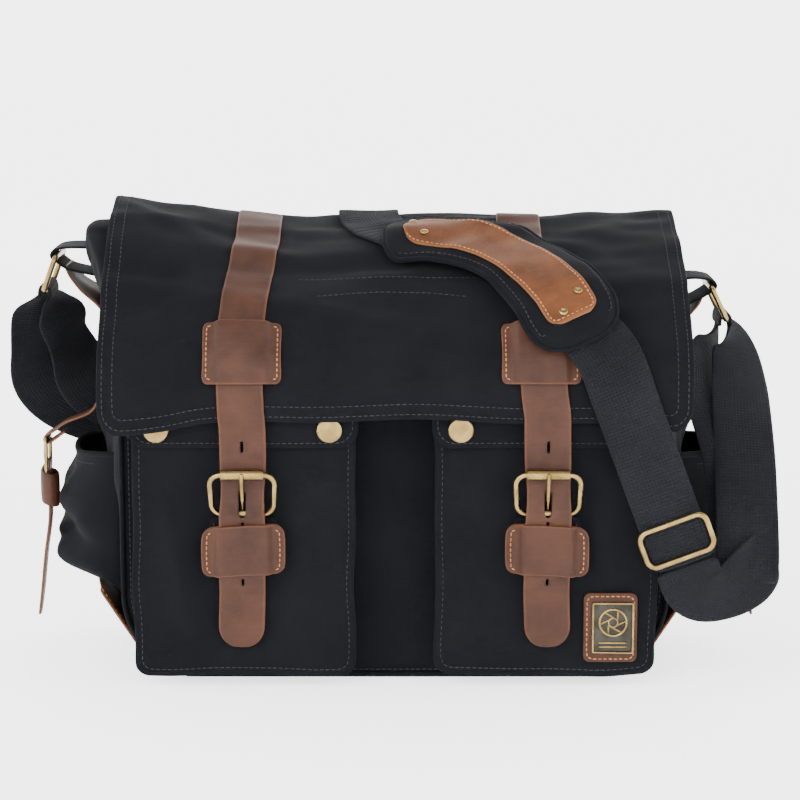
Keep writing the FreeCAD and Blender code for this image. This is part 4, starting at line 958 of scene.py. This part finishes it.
# ---------------------------------------------------------------- leather straps
def strap_line():
    """The strap's inner face in (Y, Z), from the tail up to where it meets the flap."""
    heel = box("buckle_frame_left")[0].z
    keeper_low, keeper_high = box("keeper_left")
    tail = box("leather_strap_left")[0].z
    tail_y = -87.0
    inside = keeper_low.y + 5.3
    over_heel = -98.2
    under_roller = -94.4
    roller_z = (box("roller_left")[0].z + box("roller_left")[1].z) / 2
    points = [(tail_y, tail), (tail_y - 2.5, keeper_low.z - 10), (inside, keeper_low.z - 2),
              (inside, keeper_high.z + 1), (over_heel, heel + 1.2), (over_heel, heel + 5.0),
              (under_roller, roller_z - 4), (under_roller, roller_z + 3), (FLAP_LOW.y, FLAP_LOW.z - 12),
              (FLAP_LOW.y, FLAP_LOW.z + 4)]
    return arc_line(points, [10.0, 10.0, 10.0, 2.0, 2.0, 10.0, 10.0, 10.0])


def cutter(name, middle, size):
    """A round-ended cutting block along Y."""
    width, height = size
    ring = []
    for k in range(16):
        t = 2 * math.pi * (k + 0.5) / 16
        x = math.copysign(abs(math.cos(t)) ** 0.8, math.cos(t)) * width / 2
        z = math.copysign(abs(math.sin(t)) ** 0.5, math.sin(t)) * height / 2
        ring.append((-x, z))
    rings = [[(middle[0] + x, y, middle[1] + z) for x, z in ring] for y in (-130.0, -75.0)]
    return loft(name, rings, soft=False)


def cut_out(obj, tools):
    for tool in tools:
        cut = obj.modifiers.new("cut", "BOOLEAN")
        cut.operation = "DIFFERENCE"
        cut.solver = "EXACT"
        cut.object = tool
        apply_all(obj)
        bpy.data.objects.remove(tool)


def strap_drift(side, s):
    """How far a closing strap wanders sideways on its way up the flap."""
    if side == "left":
        return 5.5 * smooth((s - 60) / 110) - 1.5 * hump(s, 45, 35)
    return -3.0 * smooth(s / 30) - 11.0 * smooth((s - 60) / 80)


def build_leather_straps():
    thick = 2.5
    lower = spaced([(*p, 0.0) for p in strap_line()], 3.0)
    for side, sign in SIDES.items():
        middle = sign * STRAP_X
        lean = -2.5 if side == "left" else 1.0
        frames = []
        travelled = 0.0
        for k, (y, z, _) in enumerate(lower):
            if k:
                travelled += math.dist(lower[k - 1], lower[k])
            width = 2 * STRAP_HALF
            if travelled < STRAP_HALF:
                width = 2 * math.sqrt(max(STRAP_HALF ** 2 - (STRAP_HALF - travelled - 0.8) ** 2, 6.0))
            sway = lean * smooth((95 - z) / 70) + 0.5 * math.sin(z / 17.0 + sign)
            pinch = 1.0 - 0.07 * hump(z, 128, 12)
            frames.append((middle + sway, y - 0.25 - thick / 2, z, 1, 0, 0, width * pinch))
        lift = 0.25 + thick / 2
        s = 8.0
        while s < FLAP_SPAN - 3:
            x = middle + strap_drift(side, s)
            across = (Vector(flap_at(x + 12, s, lift)) - Vector(flap_at(x - 12, s, lift))).normalized()
            frames.append((*flap_at(x, s, lift), *across, 2 * STRAP_HALF))
            s += 4.0
        strap = ribbon("closing_strap_" + side, frames, thick)
        cut_out(strap, [cutter("cut_a", (middle, 157.5), (2.0, 7.5)),
                        cutter("cut_b", (middle, 121.5), (4.6, 17.0)),
                        cutter("cut_c", (middle + lean * 0.1, 71.0), (1.8, 5.0)),
                        cutter("cut_d", (middle, 108.8), (1.8, 3.0))])
        place(strap, "flap", LEATHER, "leather", "leather_strap_" + side)


def patch_point(middle, x, s, over=0.0):
    """A loop patch: flat wings on the flap and a raised middle over the strap."""
    rise = 3.1 * (1 - smooth((abs(x) - STRAP_HALF - 0.3) / 3.6))
    belly = 0.5 * (1 - (x / STRAP_HALF) ** 2) if abs(x) < STRAP_HALF else 0.0
    return flap_at(middle + x, s, rise + belly + 2.2 + over)


def build_strap_patches():
    for side in SIDES:
        low, high = box("strap_patch_" + side)
        middle = (low.x + high.x) / 2 + (-4.5 if side == "right" else 0.0)
        half = (high.x - low.x) / 2
        s0 = low.z - FLAP_LOW.z + 0.5
        s1 = s0 + 40.0
        rows = []
        for s in stepped(s0, s1, 3.2, 1.0):
            waist = 1.5 * math.sin(math.pi * (s - s0) / (s1 - s0))
            reach = half - corner_cut(3.5, min(s - s0, s1 - s)) - waist * 0.5
            rows.append([patch_point(middle, share * reach, s) for share in stepped(-1, 1, 0.07, 0.04)])
        patch = grid("loop_patch_" + side, rows, 2.1)
        place(patch, "flap", LEATHER, "leather", "strap_patch_" + side)
        runs = []
        for end in (-1, 1):
            inner, outer = end * (STRAP_HALF + 4.6), end * (half - 3.0)
            line = [(inner, s0 + 2.6), (outer, s0 + 2.6), (outer, s1 - 2.6), (inner, s1 - 2.6)]
            packed = spaced([(*p, 0.0) for p in line], 2.0)
            runs.append([(patch_point(middle, x, s, 0.1), flap_out(middle + x, s)) for x, s, _ in packed])
        sew("loop_patch_stitches_" + side, runs, "flap", "leather", 0.42, 2.3)


def keeper_at(side, x, z, lift):
    low, high = box("keeper_" + side)
    middle = (low.x + high.x) / 2
    height = (z - low.z) / (high.z - low.z)
    rise = 5.0 * (1 - smooth((abs(x) - STRAP_HALF - 0.4) / 4.2)) + 0.8 * math.cos(x / 19.0)
    bend = 0.9 * math.sin(height * math.pi) * (abs(x) / 26.0) ** 2
    return (middle + x, low.y + 6.6 - rise - lift - bend, z)


def build_keepers():
    for side, sign in SIDES.items():
        low, high = box("keeper_" + side)
        half = (high.x - low.x) / 2
        rows, back = [], []
        for z in stepped(low.z, high.z, 3.0, 1.0):
            flare = 1.2 * math.sin(math.pi * (z - low.z) / (high.z - low.z))
            reach = half - corner_cut(6.0, min(z - low.z, high.z - z)) + flare * 0.3
            row = []
            for share in stepped(-1, 1, 0.07, 0.04):
                x = share * reach
                sag = -1.3 * sign * x / half - 1.6 * (x / half) ** 2 + 0.8
                row.append(keeper_at(side, x, z + sag, 0.4))
            rows.append(row)
            back.append([(x, high.y - 1.9, z) for x, _, z in row])
        front = grid("keeper_loop_" + side, rows, 2.0)
        place(front, "flap", LEATHER, "leather", "keeper_" + side)
        backing = grid("keeper_backing_" + side, back, 1.8)
        place(backing, "flap", LEATHER, "leather")
        runs = []
        for end in (-1, 1):
            inner, outer = end * (STRAP_HALF + 5.4), end * (half - 3.4)
            line = [(inner, low.z + 3.0), (outer, low.z + 3.4),
                    (end * (half - 3.4 + 0.4), (low.z + high.z) / 2), (outer, high.z - 3.4),
                    (inner, high.z - 3.0)]
            packed = spaced([(*p, 0.0) for p in line], 2.0)
            runs.append([(keeper_at(side, x, z - 1.3 * sign * x / half - 0.6, 0.55), (0, -1, 0))
                         for x, z, _ in packed])
        sew("keeper_stitches_" + side, runs, "flap", "leather", 0.42, 2.3)


def build_buckle_tabs():
    for side in SIDES:
        low, high = box("buckle_tab_" + side)
        middle = (low.x + high.x) / 2
        half = (high.x - low.x) / 2
        heel_y, heel_z = -94.0, box("buckle_frame_" + side)[0].z + 1.75
        rows = []
        for z in stepped(low.z, heel_z - 3.0, 3.5, 1.0):
            reach = half - corner_cut(3.0, min(z - low.z, heel_z - 3.0 - z))
            rows.append([(middle + share * reach, high.y - 2.6, z) for share in stepped(-1, 1, 0.12, 0.05)])
        plate = grid("tab_cloth_" + side, rows, 2.2)
        place(plate, "flap", CANVAS, "canvas", "buckle_tab_" + side)
        loop = [(high.y - 4.6, heel_z - 9), (high.y - 4.8, heel_z - 2)]
        loop += [(heel_y + 2.8 * math.cos(t), heel_z + 2.8 * math.sin(t)) for t in turns(12)[:7]]
        loop += [(heel_y - 2.0, heel_z - 6), (heel_y + 1.0, heel_z - 12)]
        inner, outer = 4.2, 12.0
        for end, letter in ((-1, "a"), (1, "b")):
            x = middle + end * (inner + outer) / 2
            frames = [(x, y, z, 1, 0, 0, outer - inner) for y, z in loop]
            place(ribbon("tab_fold_" + side + "_" + letter, frames, 1.3), "flap", CANVAS, "canvas")
        left, right = middle - half + 2.6, middle + half - 2.6
        line = [(left, heel_z - 6), (left, low.z + 2.6), (right, low.z + 2.6), (right, heel_z - 6)]
        packed = spaced([(*p, 0.0) for p in line], 3.0)
        sew("tab_stitches_" + side, [[((x, high.y - 2.65, z), (0, -1, 0)) for x, z, _ in packed]], "flap")


def rounded_outline(middle, size, radius, count=7):
    """Points round a rectangle with round corners, in (X, Z)."""
    points = []
    for cx, cz, start in ((1, -1, -90), (1, 1, 0), (-1, 1, 90), (-1, -1, 180)):
        x = middle[0] + cx * (size[0] / 2 - radius)
        z = middle[1] + cz * (size[1] / 2 - radius)
        for k in range(count):
            t = math.radians(start + 90 * k / (count - 1))
            points.append((x + radius * math.cos(t), z + radius * math.sin(t)))
    return points


def raised_plate(name, middle, size, radius, y0, y1, bevel):
    """A flat plate facing -Y with a soft front edge."""
    rings = []
    for y, inset in ((y1, 0.0), (y1, 0.3), ((y0 + y1) / 2, 0.0), (y0 + bevel, 0.0),
                     (y0 + 0.15, bevel * 0.6), (y0, bevel * 1.4)):
        shrunk = (size[0] - 2 * inset, size[1] - 2 * inset)
        rings.append([(x, y, z) for x, z in rounded_outline(middle, shrunk, max(radius - inset, 0.4))])
    return loft(name, rings, soft=False)


def build_badge():
    """A leather patch with a dark metal plate: raised border, aperture of six blades and two plain bars."""
    low, high = box("badge_patch")
    middle = ((low.x + high.x) / 2 - 0.8, (low.z + high.z) / 2)
    size = (high.x - low.x - 3.0, high.z - low.z - 2.0)
    patch = raised_plate("badge_leather", middle, size, 4.0, low.y - 1.6, high.y - 1.0, 0.7)
    place(patch, "root", LEATHER, "leather", "badge_patch")
    face = low.y - 1.6
    line = rounded_outline(middle, (size[0] - 4.4, size[1] - 4.4), 3.0)
    runs = [[((x, face - 0.05, z), (0, -1, 0)) for x, z in line + line[:1]]]
    sew("badge_stitches", runs, "root", "leather", 0.42, 2.2)
    plate_low, plate_high = box("badge_plate")
    size = (plate_high.x - plate_low.x + 0.5, plate_high.z - plate_low.z)
    middle = (middle[0] + 1.6, middle[1])
    base = raised_plate("badge_metal", middle, size, 1.0, face - 1.0, face + 0.2, 0.3)
    place(base, "root", PLATE, "plate", "badge_plate")

    def wire(name, line, radius, closed=True):
        points = [(x, face - 1.1, z) for x, z in line]
        place(tube(name, points, radius, 6, closed), "root", BRASS, "brass")
    wire("badge_rim", rounded_outline(middle, (size[0] - 1.2, size[1] - 1.2), 0.8, 3), 0.75)
    cx, cz = middle[0], middle[1] + 3.6
    for name, radius, thick in (("badge_ring_outer", 8.6, 0.8), ("badge_ring_inner", 2.9, 0.6)):
        wire(name, [(cx + radius * math.cos(t), cz + radius * math.sin(t)) for t in turns(28)], thick)
    for k in range(6):
        t = math.pi * k / 3 + 0.3
        ends = ((3.1, t), (8.2, t + 0.9))
        blade = [(cx + radius * math.cos(a), cz + radius * math.sin(a)) for radius, a in ends]
        wire("badge_blade_%d" % k, blade, 0.6, False)
    for k in range(2):
        level = middle[1] - 9.6 - 2.6 * k
        wire("badge_bar_%d" % k, [(middle[0] - 9.0, level), (middle[0] + 9.0, level)], 0.55, False)


# ---------------------------------------------------------------- shoulder strap
WEB_WIDTH, WEB_THICK = 40.0, 2.2
PAD_WIDTH, PAD_THICK = 60.0, 8.0
# Routes over the flap: X, distance up from the hem, height over the flap.
WEB_ROUTE = [(-18.0, 244.0, 1.2), (-18.0, 232.0, 1.2), (-18.0, 211.0, 1.2), (-16.0, 196.0, 1.2),
             (-7.0, 174.0, 1.4), (14.0, 158.0, 1.6), (40.0, 149.0, 2.0), (66.0, 133.0, 3.0),
             (88.0, 110.0, 3.6), (104.0, 84.0, 5.8), (118.0, 62.0, 6.8), (130.4, 46.0, 6.8),
             (139.5, 25.0, 5.2), (148.8, 1.0, 3.0), (162.0, -34.0, 3.0), (175.0, -69.0, 3.0),
             (181.0, -85.0, 3.0)]
PAD_LINE = [(-7.0, 155.0, 3.8), (4.0, 154.6, 3.8), (25.0, 152.0, 4.4), (47.0, 145.0, 5.0), (69.0, 130.5, 6.0),
            (89.0, 106.0, 6.8), (103.0, 81.0, 9.2), (110.5, 64.0, 9.6), (115.5, 50.5, 9.4)]


def flap_strip_rings(route, section, thick):
    """Rings for a strip laid on the flap; route rows are (x, s, lift, width)."""
    rings = []
    for i, (x, s, lift, width) in enumerate(route):
        ax, av = sideways(route, i)
        rings.append([flap_at(x + a * ax * width / 2, s + a * av * width / 2, lift + (n + 0.5) * thick)
                      for a, n in section])
    return rings


def spread(route, widths, step):
    rows = [(x, s, lift * 3, width) for (x, s, lift), width in zip(route, widths)]
    return [(x, s, lift / 3, width) for x, s, lift, width in catmull(rows, step)]


def low_fold():
    """The webbing's end below the slider, folded up to the right ring; a row's last value narrows it."""
    start = Vector(flap_at(181.5, -85.0, 4.1))
    rows = [(*start, 0.936, 0, 0.351, 0), (184.5, -98.5, 74.5, 0.93, 0, 0.38, 0),
            (188.5, -97.5, 66.5, 0.80, -0.05, 0.60, 0), (196.0, -95.5, 62.0, 0.50, -0.1, 0.86, 3),
            (205.0, -93.0, 62.5, 0.20, -0.1, 0.97, 4), (215.0, -90.0, 67.0, -0.12, 0.05, 0.99, 3),
            (225.0, -85.0, 74.0, -0.22, 0.1, 0.97, 1), (233.0, -77.0, 82.0, -0.25, 0.2, 0.95, 4),
            (236.0, -68.0, 88.0, -0.2, 0.4, 0.9, 8)]
    return [(*row[:6], WEB_WIDTH - row[6]) for row in rows]


def build_webbing():
    route = spread(WEB_ROUTE, [WEB_WIDTH] * len(WEB_ROUTE), 5.0)
    rings = flap_strip_rings(route, [(-a, n) for a, n in STRAP_SECTION][::-1], WEB_THICK)
    web = loft("strap_webbing", rings)
    place(web, None, WEBBING, "webbing", "front_webbing")
    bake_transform(web)
    turn = ribbon("strap_fold", catmull(low_fold(), 4.0), WEB_THICK)
    place(turn, "shoulder_strap", WEBBING, "webbing", "webbing_turn")


def pad_rows(step=3.5):
    """The pad's route with its width, which closes in a soft round at both ends."""
    rows = spread(PAD_LINE, [PAD_WIDTH] * len(PAD_LINE), step)
    shaped = []
    for i, (x, s, lift, width) in enumerate(rows):
        near = min(i, len(rows) - 1 - i) * step
        bend = 27.0
        share = 1.0 if near > bend else math.sqrt(1 - ((bend - near) / bend) ** 2.6)
        shaped.append((x, s, lift, width * (0.34 + 0.66 * share)))
    return shaped


PAD_SECTION = [(-1.0, -0.15), (-0.99, 0.05), (-0.9, 0.28), (-0.7, 0.42), (-0.4, 0.48), (0.0, 0.5),
               (0.4, 0.48), (0.7, 0.42), (0.9, 0.28), (0.99, 0.05), (1.0, -0.15), (0.96, -0.42),
               (0.6, -0.5), (0.0, -0.5), (-0.6, -0.5), (-0.96, -0.42)]


def pad_end(t):
    """The pad's share of its full thickness at a share t of its length away from an end."""
    return math.sqrt(max(1 - max(0.0, 1 - t / 0.07) ** 2, 0.05))


def build_pad():
    rows = pad_rows()
    heights = []
    shape = []
    for i, (x, s, lift, width) in enumerate(rows):
        t = i / (len(rows) - 1)
        end = min(1.0, pad_end(t), pad_end(1 - t)) * (1 + 0.05 * rough(x, s, 0, 22.0, 9.0))
        heights.append(0.55 + 0.45 * end)
        ax, av = sideways(rows, i)
        shape.append([flap_at(x + a * ax * width / 2, s + a * av * width / 2,
                              lift + (n + 0.5) * PAD_THICK * heights[i]) for a, n in PAD_SECTION][::-1])
    pad = loft("pad_body", shape)
    place(pad, "shoulder_strap", CANVAS, "pad", "shoulder_pad")

    def loop(reach, up, more):
        """A line round the pad's face at a share of its width and thickness."""
        one, two = [], []
        for i, (x, s, lift, width) in enumerate(rows):
            ax, av = (part * width / 2 for part in sideways(rows, i))
            high = lift + PAD_THICK * (up * heights[i] + more)
            one.append(flap_at(x + reach * ax, s + reach * av, high))
            two.append(flap_at(x - reach * ax, s - reach * av, high))
        return one, two
    one, two = loop(1.0, 0.42, 0.0)
    place(tube("pad_piping", one + two[::-1], 1.7, 8, closed=True), "shoulder_strap", CANVAS, "pad")
    one, two = loop(0.87, 0.81, 0.03)
    inner = one[3:-3] + two[3:-3][::-1]
    sew("pad_stitches", [[(p, (0, -0.75, 0.66)) for p in inner + inner[:1]]], "shoulder_strap", "pad", 0.36)


def build_pad_leather():
    """The leather overlay: narrower in the middle, rounded and wider at both ends."""
    rows = pad_rows(3.0)
    count = len(rows) - 1
    first, last = round(count * 0.075), round(count * 0.925)
    stretch = rows[first:last + 1]
    total = len(stretch) - 1
    plate, edge_a, edge_b = [], [], []
    for i, (x, s, lift, _) in enumerate(stretch):
        t = i / total
        near = min(t, 1 - t) * total * 3.0
        half = 18.4 - 1.2 * smooth((t - 0.6) / 0.4) - 1.6 * smooth((0.3 - t) / 0.3)
        aside = -3.2 * math.sin(math.pi * t)
        corner = 15.0 if t < 0.5 else 8.0
        if near < corner:
            half -= corner - math.sqrt(corner ** 2 - (corner - near) ** 2)
        ax, av = sideways(rows, first + i)

        def at(a, lift_more):
            crown = 0.3 * (1 - (a / 30.0) ** 2)
            high = lift + PAD_THICK * 0.985 + crown + lift_more
            return flap_at(x + (a + aside) * ax, s + (a + aside) * av, high)
        shares = [-1, -0.93, -0.6, -0.2, 0.2, 0.6, 0.93, 1]
        plate.append([at(share * half, 1.35) for share in shares])
        if near > 2.5:
            edge_a.append((at(half - 2.4, 1.42), flap_out(x, s)))
            edge_b.append((at(-half + 2.4, 1.42), flap_out(x, s)))
    leather = grid("pad_leather_overlay", plate, 1.5, flip=True)
    # The overlay takes the lighter leather, whose extra brightness is a painted highlight.
    place(leather, "shoulder_strap", PAD_LEATHER_PAINTED_HIGHLIGHT, "leather", "pad_leather")
    edge = edge_a + edge_b[::-1] + edge_a[:1]
    sew("pad_leather_stitches", [edge], "shoulder_strap", "leather", 0.45, 2.2)
    heads = []
    for share, across in ((0.045, 8.0), (0.10, -7.5), (0.90, 8.5), (0.955, -6.0)):
        x, s, lift, _ = stretch[round(share * total)]
        ax, av = sideways(stretch, round(share * total))
        px, ps = x + ax * across, s + av * across
        base = Vector(flap_at(px, ps, lift + PAD_THICK + 1.9))
        normal = Vector(flap_out(px, ps)).normalized()
        side = normal.orthogonal().normalized()
        other = normal.cross(side)
        rings = []
        for radius, high in ((2.9, -0.6), (2.9, 0.35), (2.5, 0.85), (1.5, 1.2), (0.4, 1.3)):
            rings.append([tuple(base + (side * math.cos(t) + other * math.sin(t)) * radius + normal * high)
                          for t in turns(14)])
        heads.append(loft("pad_rivet_%d" % len(heads), rings))
    for k, head in enumerate(heads):
        place(head, "shoulder_strap", BRASS, "brass", *(["pad_rivets"] if k == 0 else []))


# ---------------------------------------------------------------- rings, tabs and hanging webbing
def ring_places(side):
    low, high = box("ring_" + side)
    sign = SIDES[side]
    top = ((high.x if sign < 0 else low.x) + sign * 1.8, high.z - 1.8)
    base = ((low.x if sign < 0 else high.x) - sign * 1.8, low.z + 1.8)
    return top, base, (low.y + high.y) / 2


def upright(line, y, width):
    """Frames of a strap that runs along (X, Z) points and lies across Y."""
    return [(x, y, z, 0, 1, 0, width) for x, z in line]


def build_tabs():
    for side, sign in SIDES.items():
        (tx, tz), (bx, bz), y = ring_places(side)
        wall = sign * (HALF + 2)
        loop = [(wall, tz + 5.5), (tx - sign * 8, tz + 6.0), (tx + sign * 2.2, tz + 3.8),
                (tx + sign * 3.6, tz - 0.6), (tx - sign * 1.0, tz - 3.6), (tx - sign * 9, tz - 8.5),
                (wall, tz - 14)]
        tab = ribbon("ring_tab_cloth_" + side, catmull(upright(loop, y, 38.0), 3.0), 1.8)
        place(tab, "root", CANVAS, "canvas", "ring_tab_" + side)
        bend = ((-3.6, -5.5), (-3.5, -1), (-2.4, 2.7), (0.0, 3.6), (2.4, 2.7), (3.5, -1), (3.6, -5.5))
        loop = [(bx + sign * out, bz + up) for out, up in bend]
        webbing = ribbon("ring_webbing_" + side, catmull(upright(loop, y, WEB_WIDTH), 2.5), WEB_THICK)
        place(webbing, "ring_" + side, WEBBING, "webbing", "ring_loop_" + side)
        foot = box("tab_patches")[1].z - 50.0
        rows = []
        for z in stepped(foot, tz - 6.0, 3.5, 1.0):
            off = smooth((z - (tz - 30.0)) / 24.0)
            row = []
            for share in stepped(-1.0, 1.0, 0.12, 0.06):
                v = y + 17.0 * share
                out = HALF + side_swell(side, v, z) + taper(v) + 1.9
                row.append((sign * (out + (max(abs(tx) - 5.0, out) - out) * off), v, z))
            rows.append(row)
        patch = grid("tab_leather_" + side, rows, 1.6, flip=sign < 0)
        place(patch, "root", LEATHER, "leather", *(["tab_patches"] if side == "left" else []))


# The direction across each strand below its ring, and how far it has moved sideways there.
STRAND_TURNS = {("left", -1): (0.75, 0.66, -4.0), ("left", 1): (0.72, 0.7, 5.0),
                ("right", 1): (0.7, 0.7, 5.0), ("right", -1): (0.5, 0.87, -5.0)}


def strand(name, side, way, route, body, *nodes):
    """A length of webbing from a ring on; the rows of its route are a point and the direction across."""
    _, (bx, bz), y = ring_places(side)
    across_x, across_y, shift = STRAND_TURNS[side, way]
    rows = [(bx + way * 3.6, y, bz - 3.0, 0, 1, 0), (bx + way * 3.7, y, bz - 6.0, 0.12, 1, 0),
            (bx + way * 3.6 + shift, y, bz - 19, across_x, across_y, 0)] + route
    frames = [(*row, WEB_WIDTH) for row in rows]
    return place(ribbon(name, catmull(frames, 5.0), WEB_THICK), body, WEBBING, "webbing", *nodes)


def build_strands():
    back = BACK + 5.0
    strand("strap_behind", "left", -1, [
        (-240, 24, 206, 0.6, 0.8, 0), (-238, 36, 180, 0.8, 0.5, 0.2), (-225, 54, 160, 0.7, 0.3, 0.6),
        (-198, 72, 146, 0.3, 0.1, 0.95), (-160, back + 3, 142, -0.1, 0, 1), (-120, back, 152, -0.4, 0, 0.92),
        (-80, back, 180, -0.62, 0, 0.78), (-46, back, 216, -0.8, 0, 0.6), (-25, back, 250, -0.95, 0, 0.2),
        (-18, back + 1.5, 270, -1, 0, 0), (-18, back + 2.0, 281, -1, 0, 0)], "root", "back_webbing")
    strand("strap_left_inner", "left", 1, [
        (-217, 26, 206, 0.5, 0.86, 0), (-211, 40, 184, 0.75, 0.6, 0.1), (-203, 58, 166, 0.8, 0.4, 0.3),
        (-190, 68, 158, 0.6, 0.2, 0.8)], "root", "left_strand")
    right = strand("strap_right_outer", "right", 1, [
        (226, 8, 186, 0.86, 0.5, 0), (225, -18, 164, 0.97, 0.25, 0), (224, -46, 138, 1, 0.1, 0),
        (223, -66, 112, 1, 0.05, 0), (222, -82, 88, 1, 0, 0), (221, -87, 74, 1, 0, 0.03),
        (220, -82, 66, 1, 0, 0.06), (219, -75, 67, 1, 0, 0.06)], None, "right_strands")
    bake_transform(right)
    left = strand("strap_right_inner", "right", -1, [
        (203, 6, 184, 0.6, 0.8, 0), (209, -16, 165, 0.85, 0.5, 0.1), (216, -42, 142, 1, 0.1, 0),
        (219, -56, 118, 1, 0, 0), (219, -66, 92, 1, 0, 0)], None)
    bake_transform(left)


# ---------------------------------------------------------------- side pocket straps
STRAP_RUN = [(235.5, 27.0), (233.0, 45.0), (230.0, 70.0), (226.5, 95.0), (226.6, 118.0), (226.8, 127.0),
             (226.2, 133.0)]
STRAP_FOLD = [(214.0, 158.0), (222.0, 152.5), (227.5, 149.0), (229.5, 146.5), (227.6, 143.8), (223.0, 146.0),
              (215.0, 152.0)]
STRAP_TURN = [(226.4, 133.0), (229.0, 129.5), (231.2, 126.8), (229.4, 123.6), (228.6, 118.0), (228.9, 104.0)]


def build_side_straps():
    for side, sign in SIDES.items():
        low, high = box("side_strap_" + side)
        y = (low.y + high.y) / 2
        frames = []
        for x, z in STRAP_RUN:
            width = 13.0 if z > 40 else 8.0 + (z - 27) * 0.38
            frames.append((sign * x, y + 1.5 * math.sin(z / 20), z, 0, 1, 0, width))
        strap = ribbon("side_strap_leather_" + side, catmull(frames, 3.0), 1.8)
        place(strap, "root", LEATHER, "leather", "side_strap_" + side)
        upper = [(HALF + 2.0 + side_swell(side, y, 172), 172.0),
                 (HALF + 6.0 + side_swell(side, y, 166), 164.0)]
        for name, line, width, thick in (("side_strap_upper_", upper + STRAP_FOLD, 13.0, 1.8),
                                         ("side_strap_turn_", STRAP_TURN, 12.0, 1.6)):
            frames = upright([(sign * x, z) for x, z in line], y, width)
            place(ribbon(name + side, catmull(frames, 2.0), thick), "root", LEATHER, "leather")
        low, high = box("side_keepers")
        inner, middle = 222.0, 226.6
        loop = []
        for t in turns(20):
            square = 1.0 if abs(math.cos(t)) < 0.9 else 1.02
            loop.append((4.9 * math.cos(t) * square, 8.2 * math.sin(t)))
        rings = []
        for grow, z in ((0.0, low.z - 5), (1.6, low.z - 5), (1.6, (low.z + high.z) / 2), (1.6, high.z + 4),
                        (0.0, high.z + 4), (0.0, low.z - 5)):
            rings.append([(sign * (middle + u * (1 + grow / 6)), y + v * (1 + grow / 9),
                           z + 0.32 * (u + middle - inner)) for u, v in loop])
        keeper = loft("side_keeper_" + side, rings, capped=False)
        place(keeper, "root", LEATHER, "leather", *(["side_keepers"] if side == "left" else []))
        prong = [(sign * 228.6, y, 126.5), (sign * 229.6, y, 136.0), (sign * 228.6, y, 147.6)]
        place(tube("side_prong_" + side, catmull(prong, 2.0), 1.1), "root", BRASS, "brass")


# ---------------------------------------------------------------- padded insert
def plan_outline(half_x, half_y, radius, z):
    return [(x, y, z) for x, y in rounded_outline((0.0, 0.0), (2 * half_x, 2 * half_y), radius, 6)]


def build_insert():
    low, high = box("padded_insert")
    half_x, half_y = high.x, high.y
    wall = 8.0
    rings = []

    def outline(z, inset, radius):
        reach = CORNER - 5.0
        shrink = 0.0
        if z - low.z < reach:
            shrink = reach - math.sqrt(max(reach ** 2 - (reach - (z - low.z)) ** 2, 0.0))
        plan = plan_outline(half_x - inset - shrink - 1.0, half_y - inset, radius, z)
        return [(x * (1 + 1.15 * taper(y) / HALF), y, z) for x, y, z in plan]
    levels = [low.z, low.z + 2, low.z + 8, low.z + 20, low.z + 40, low.z + 70, low.z + 110, high.z - 20,
              high.z - 4]
    for z in levels:
        rings.append(outline(z, 0.3, 10.0))
    for k in range(1, 6):
        t = math.pi * k / 6
        rings.append(outline(high.z - 4 + 4 * math.sin(t), 0.3 + (wall - 0.3) * (1 - math.cos(t)) / 2, 8.0))
    for z in levels[:2:-1] + [low.z + 10.5]:
        rings.append(outline(z, wall, 6.0))
    insert = loft("insert_padding", rings)
    place(insert, "root", LINING, "lining", "padded_insert")
    for side in SIDES:
        node = "divider_" + side
        low, high = box(node)
        middle = (low.x + high.x) / 2
        rows = []
        for share in (-1.0, -0.97, -0.9, -0.6, -0.3, 0.0, 0.3, 0.6, 0.9, 0.97, 1.0):
            y = (low.y + high.y) / 2 + share * (high.y - low.y) / 2
            fat = 0.35 + 0.65 * math.sqrt(max(1 - abs(share) ** 6, 0.0))
            ring = []
            for u, v in rounded_outline((0.0, 0.0), (2.0, 2.0), 0.5, 5):
                z = (low.z + high.z) / 2 + v * (high.z - low.z) / 2 * (0.985 + 0.015 * fat)
                ring.append((middle + u * 3.0 * fat * (1 - 0.3 * abs(v) ** 6), y, z))
            rows.append(ring[::-1])
        divider = loft("padded_" + node, rows)
        place(divider, node, LINING, "lining", node)


# ---------------------------------------------------------------- hard parts kept from the frame
def finish_kept():
    slots = {row["node"]: row["material_slot"] for row in frame["record"]["subparts"]}
    for name, obj in frame["nodes"].items():
        if obj.hide_render:
            continue
        obj.data.materials.clear()
        obj.data.materials.append(KEPT.get(slots[name], BRASS))


build_stage()
build_shell()
build_base_leather()
build_front_pockets()
build_pocket_flaps()
build_side_pockets()
build_magnet_covers()
build_flap()
build_leather_straps()
build_strap_patches()
build_keepers()
build_buckle_tabs()
build_badge()
build_webbing()
build_pad()
build_pad_leather()
build_tabs()
build_strands()
build_side_straps()
build_insert()
finish_kept()
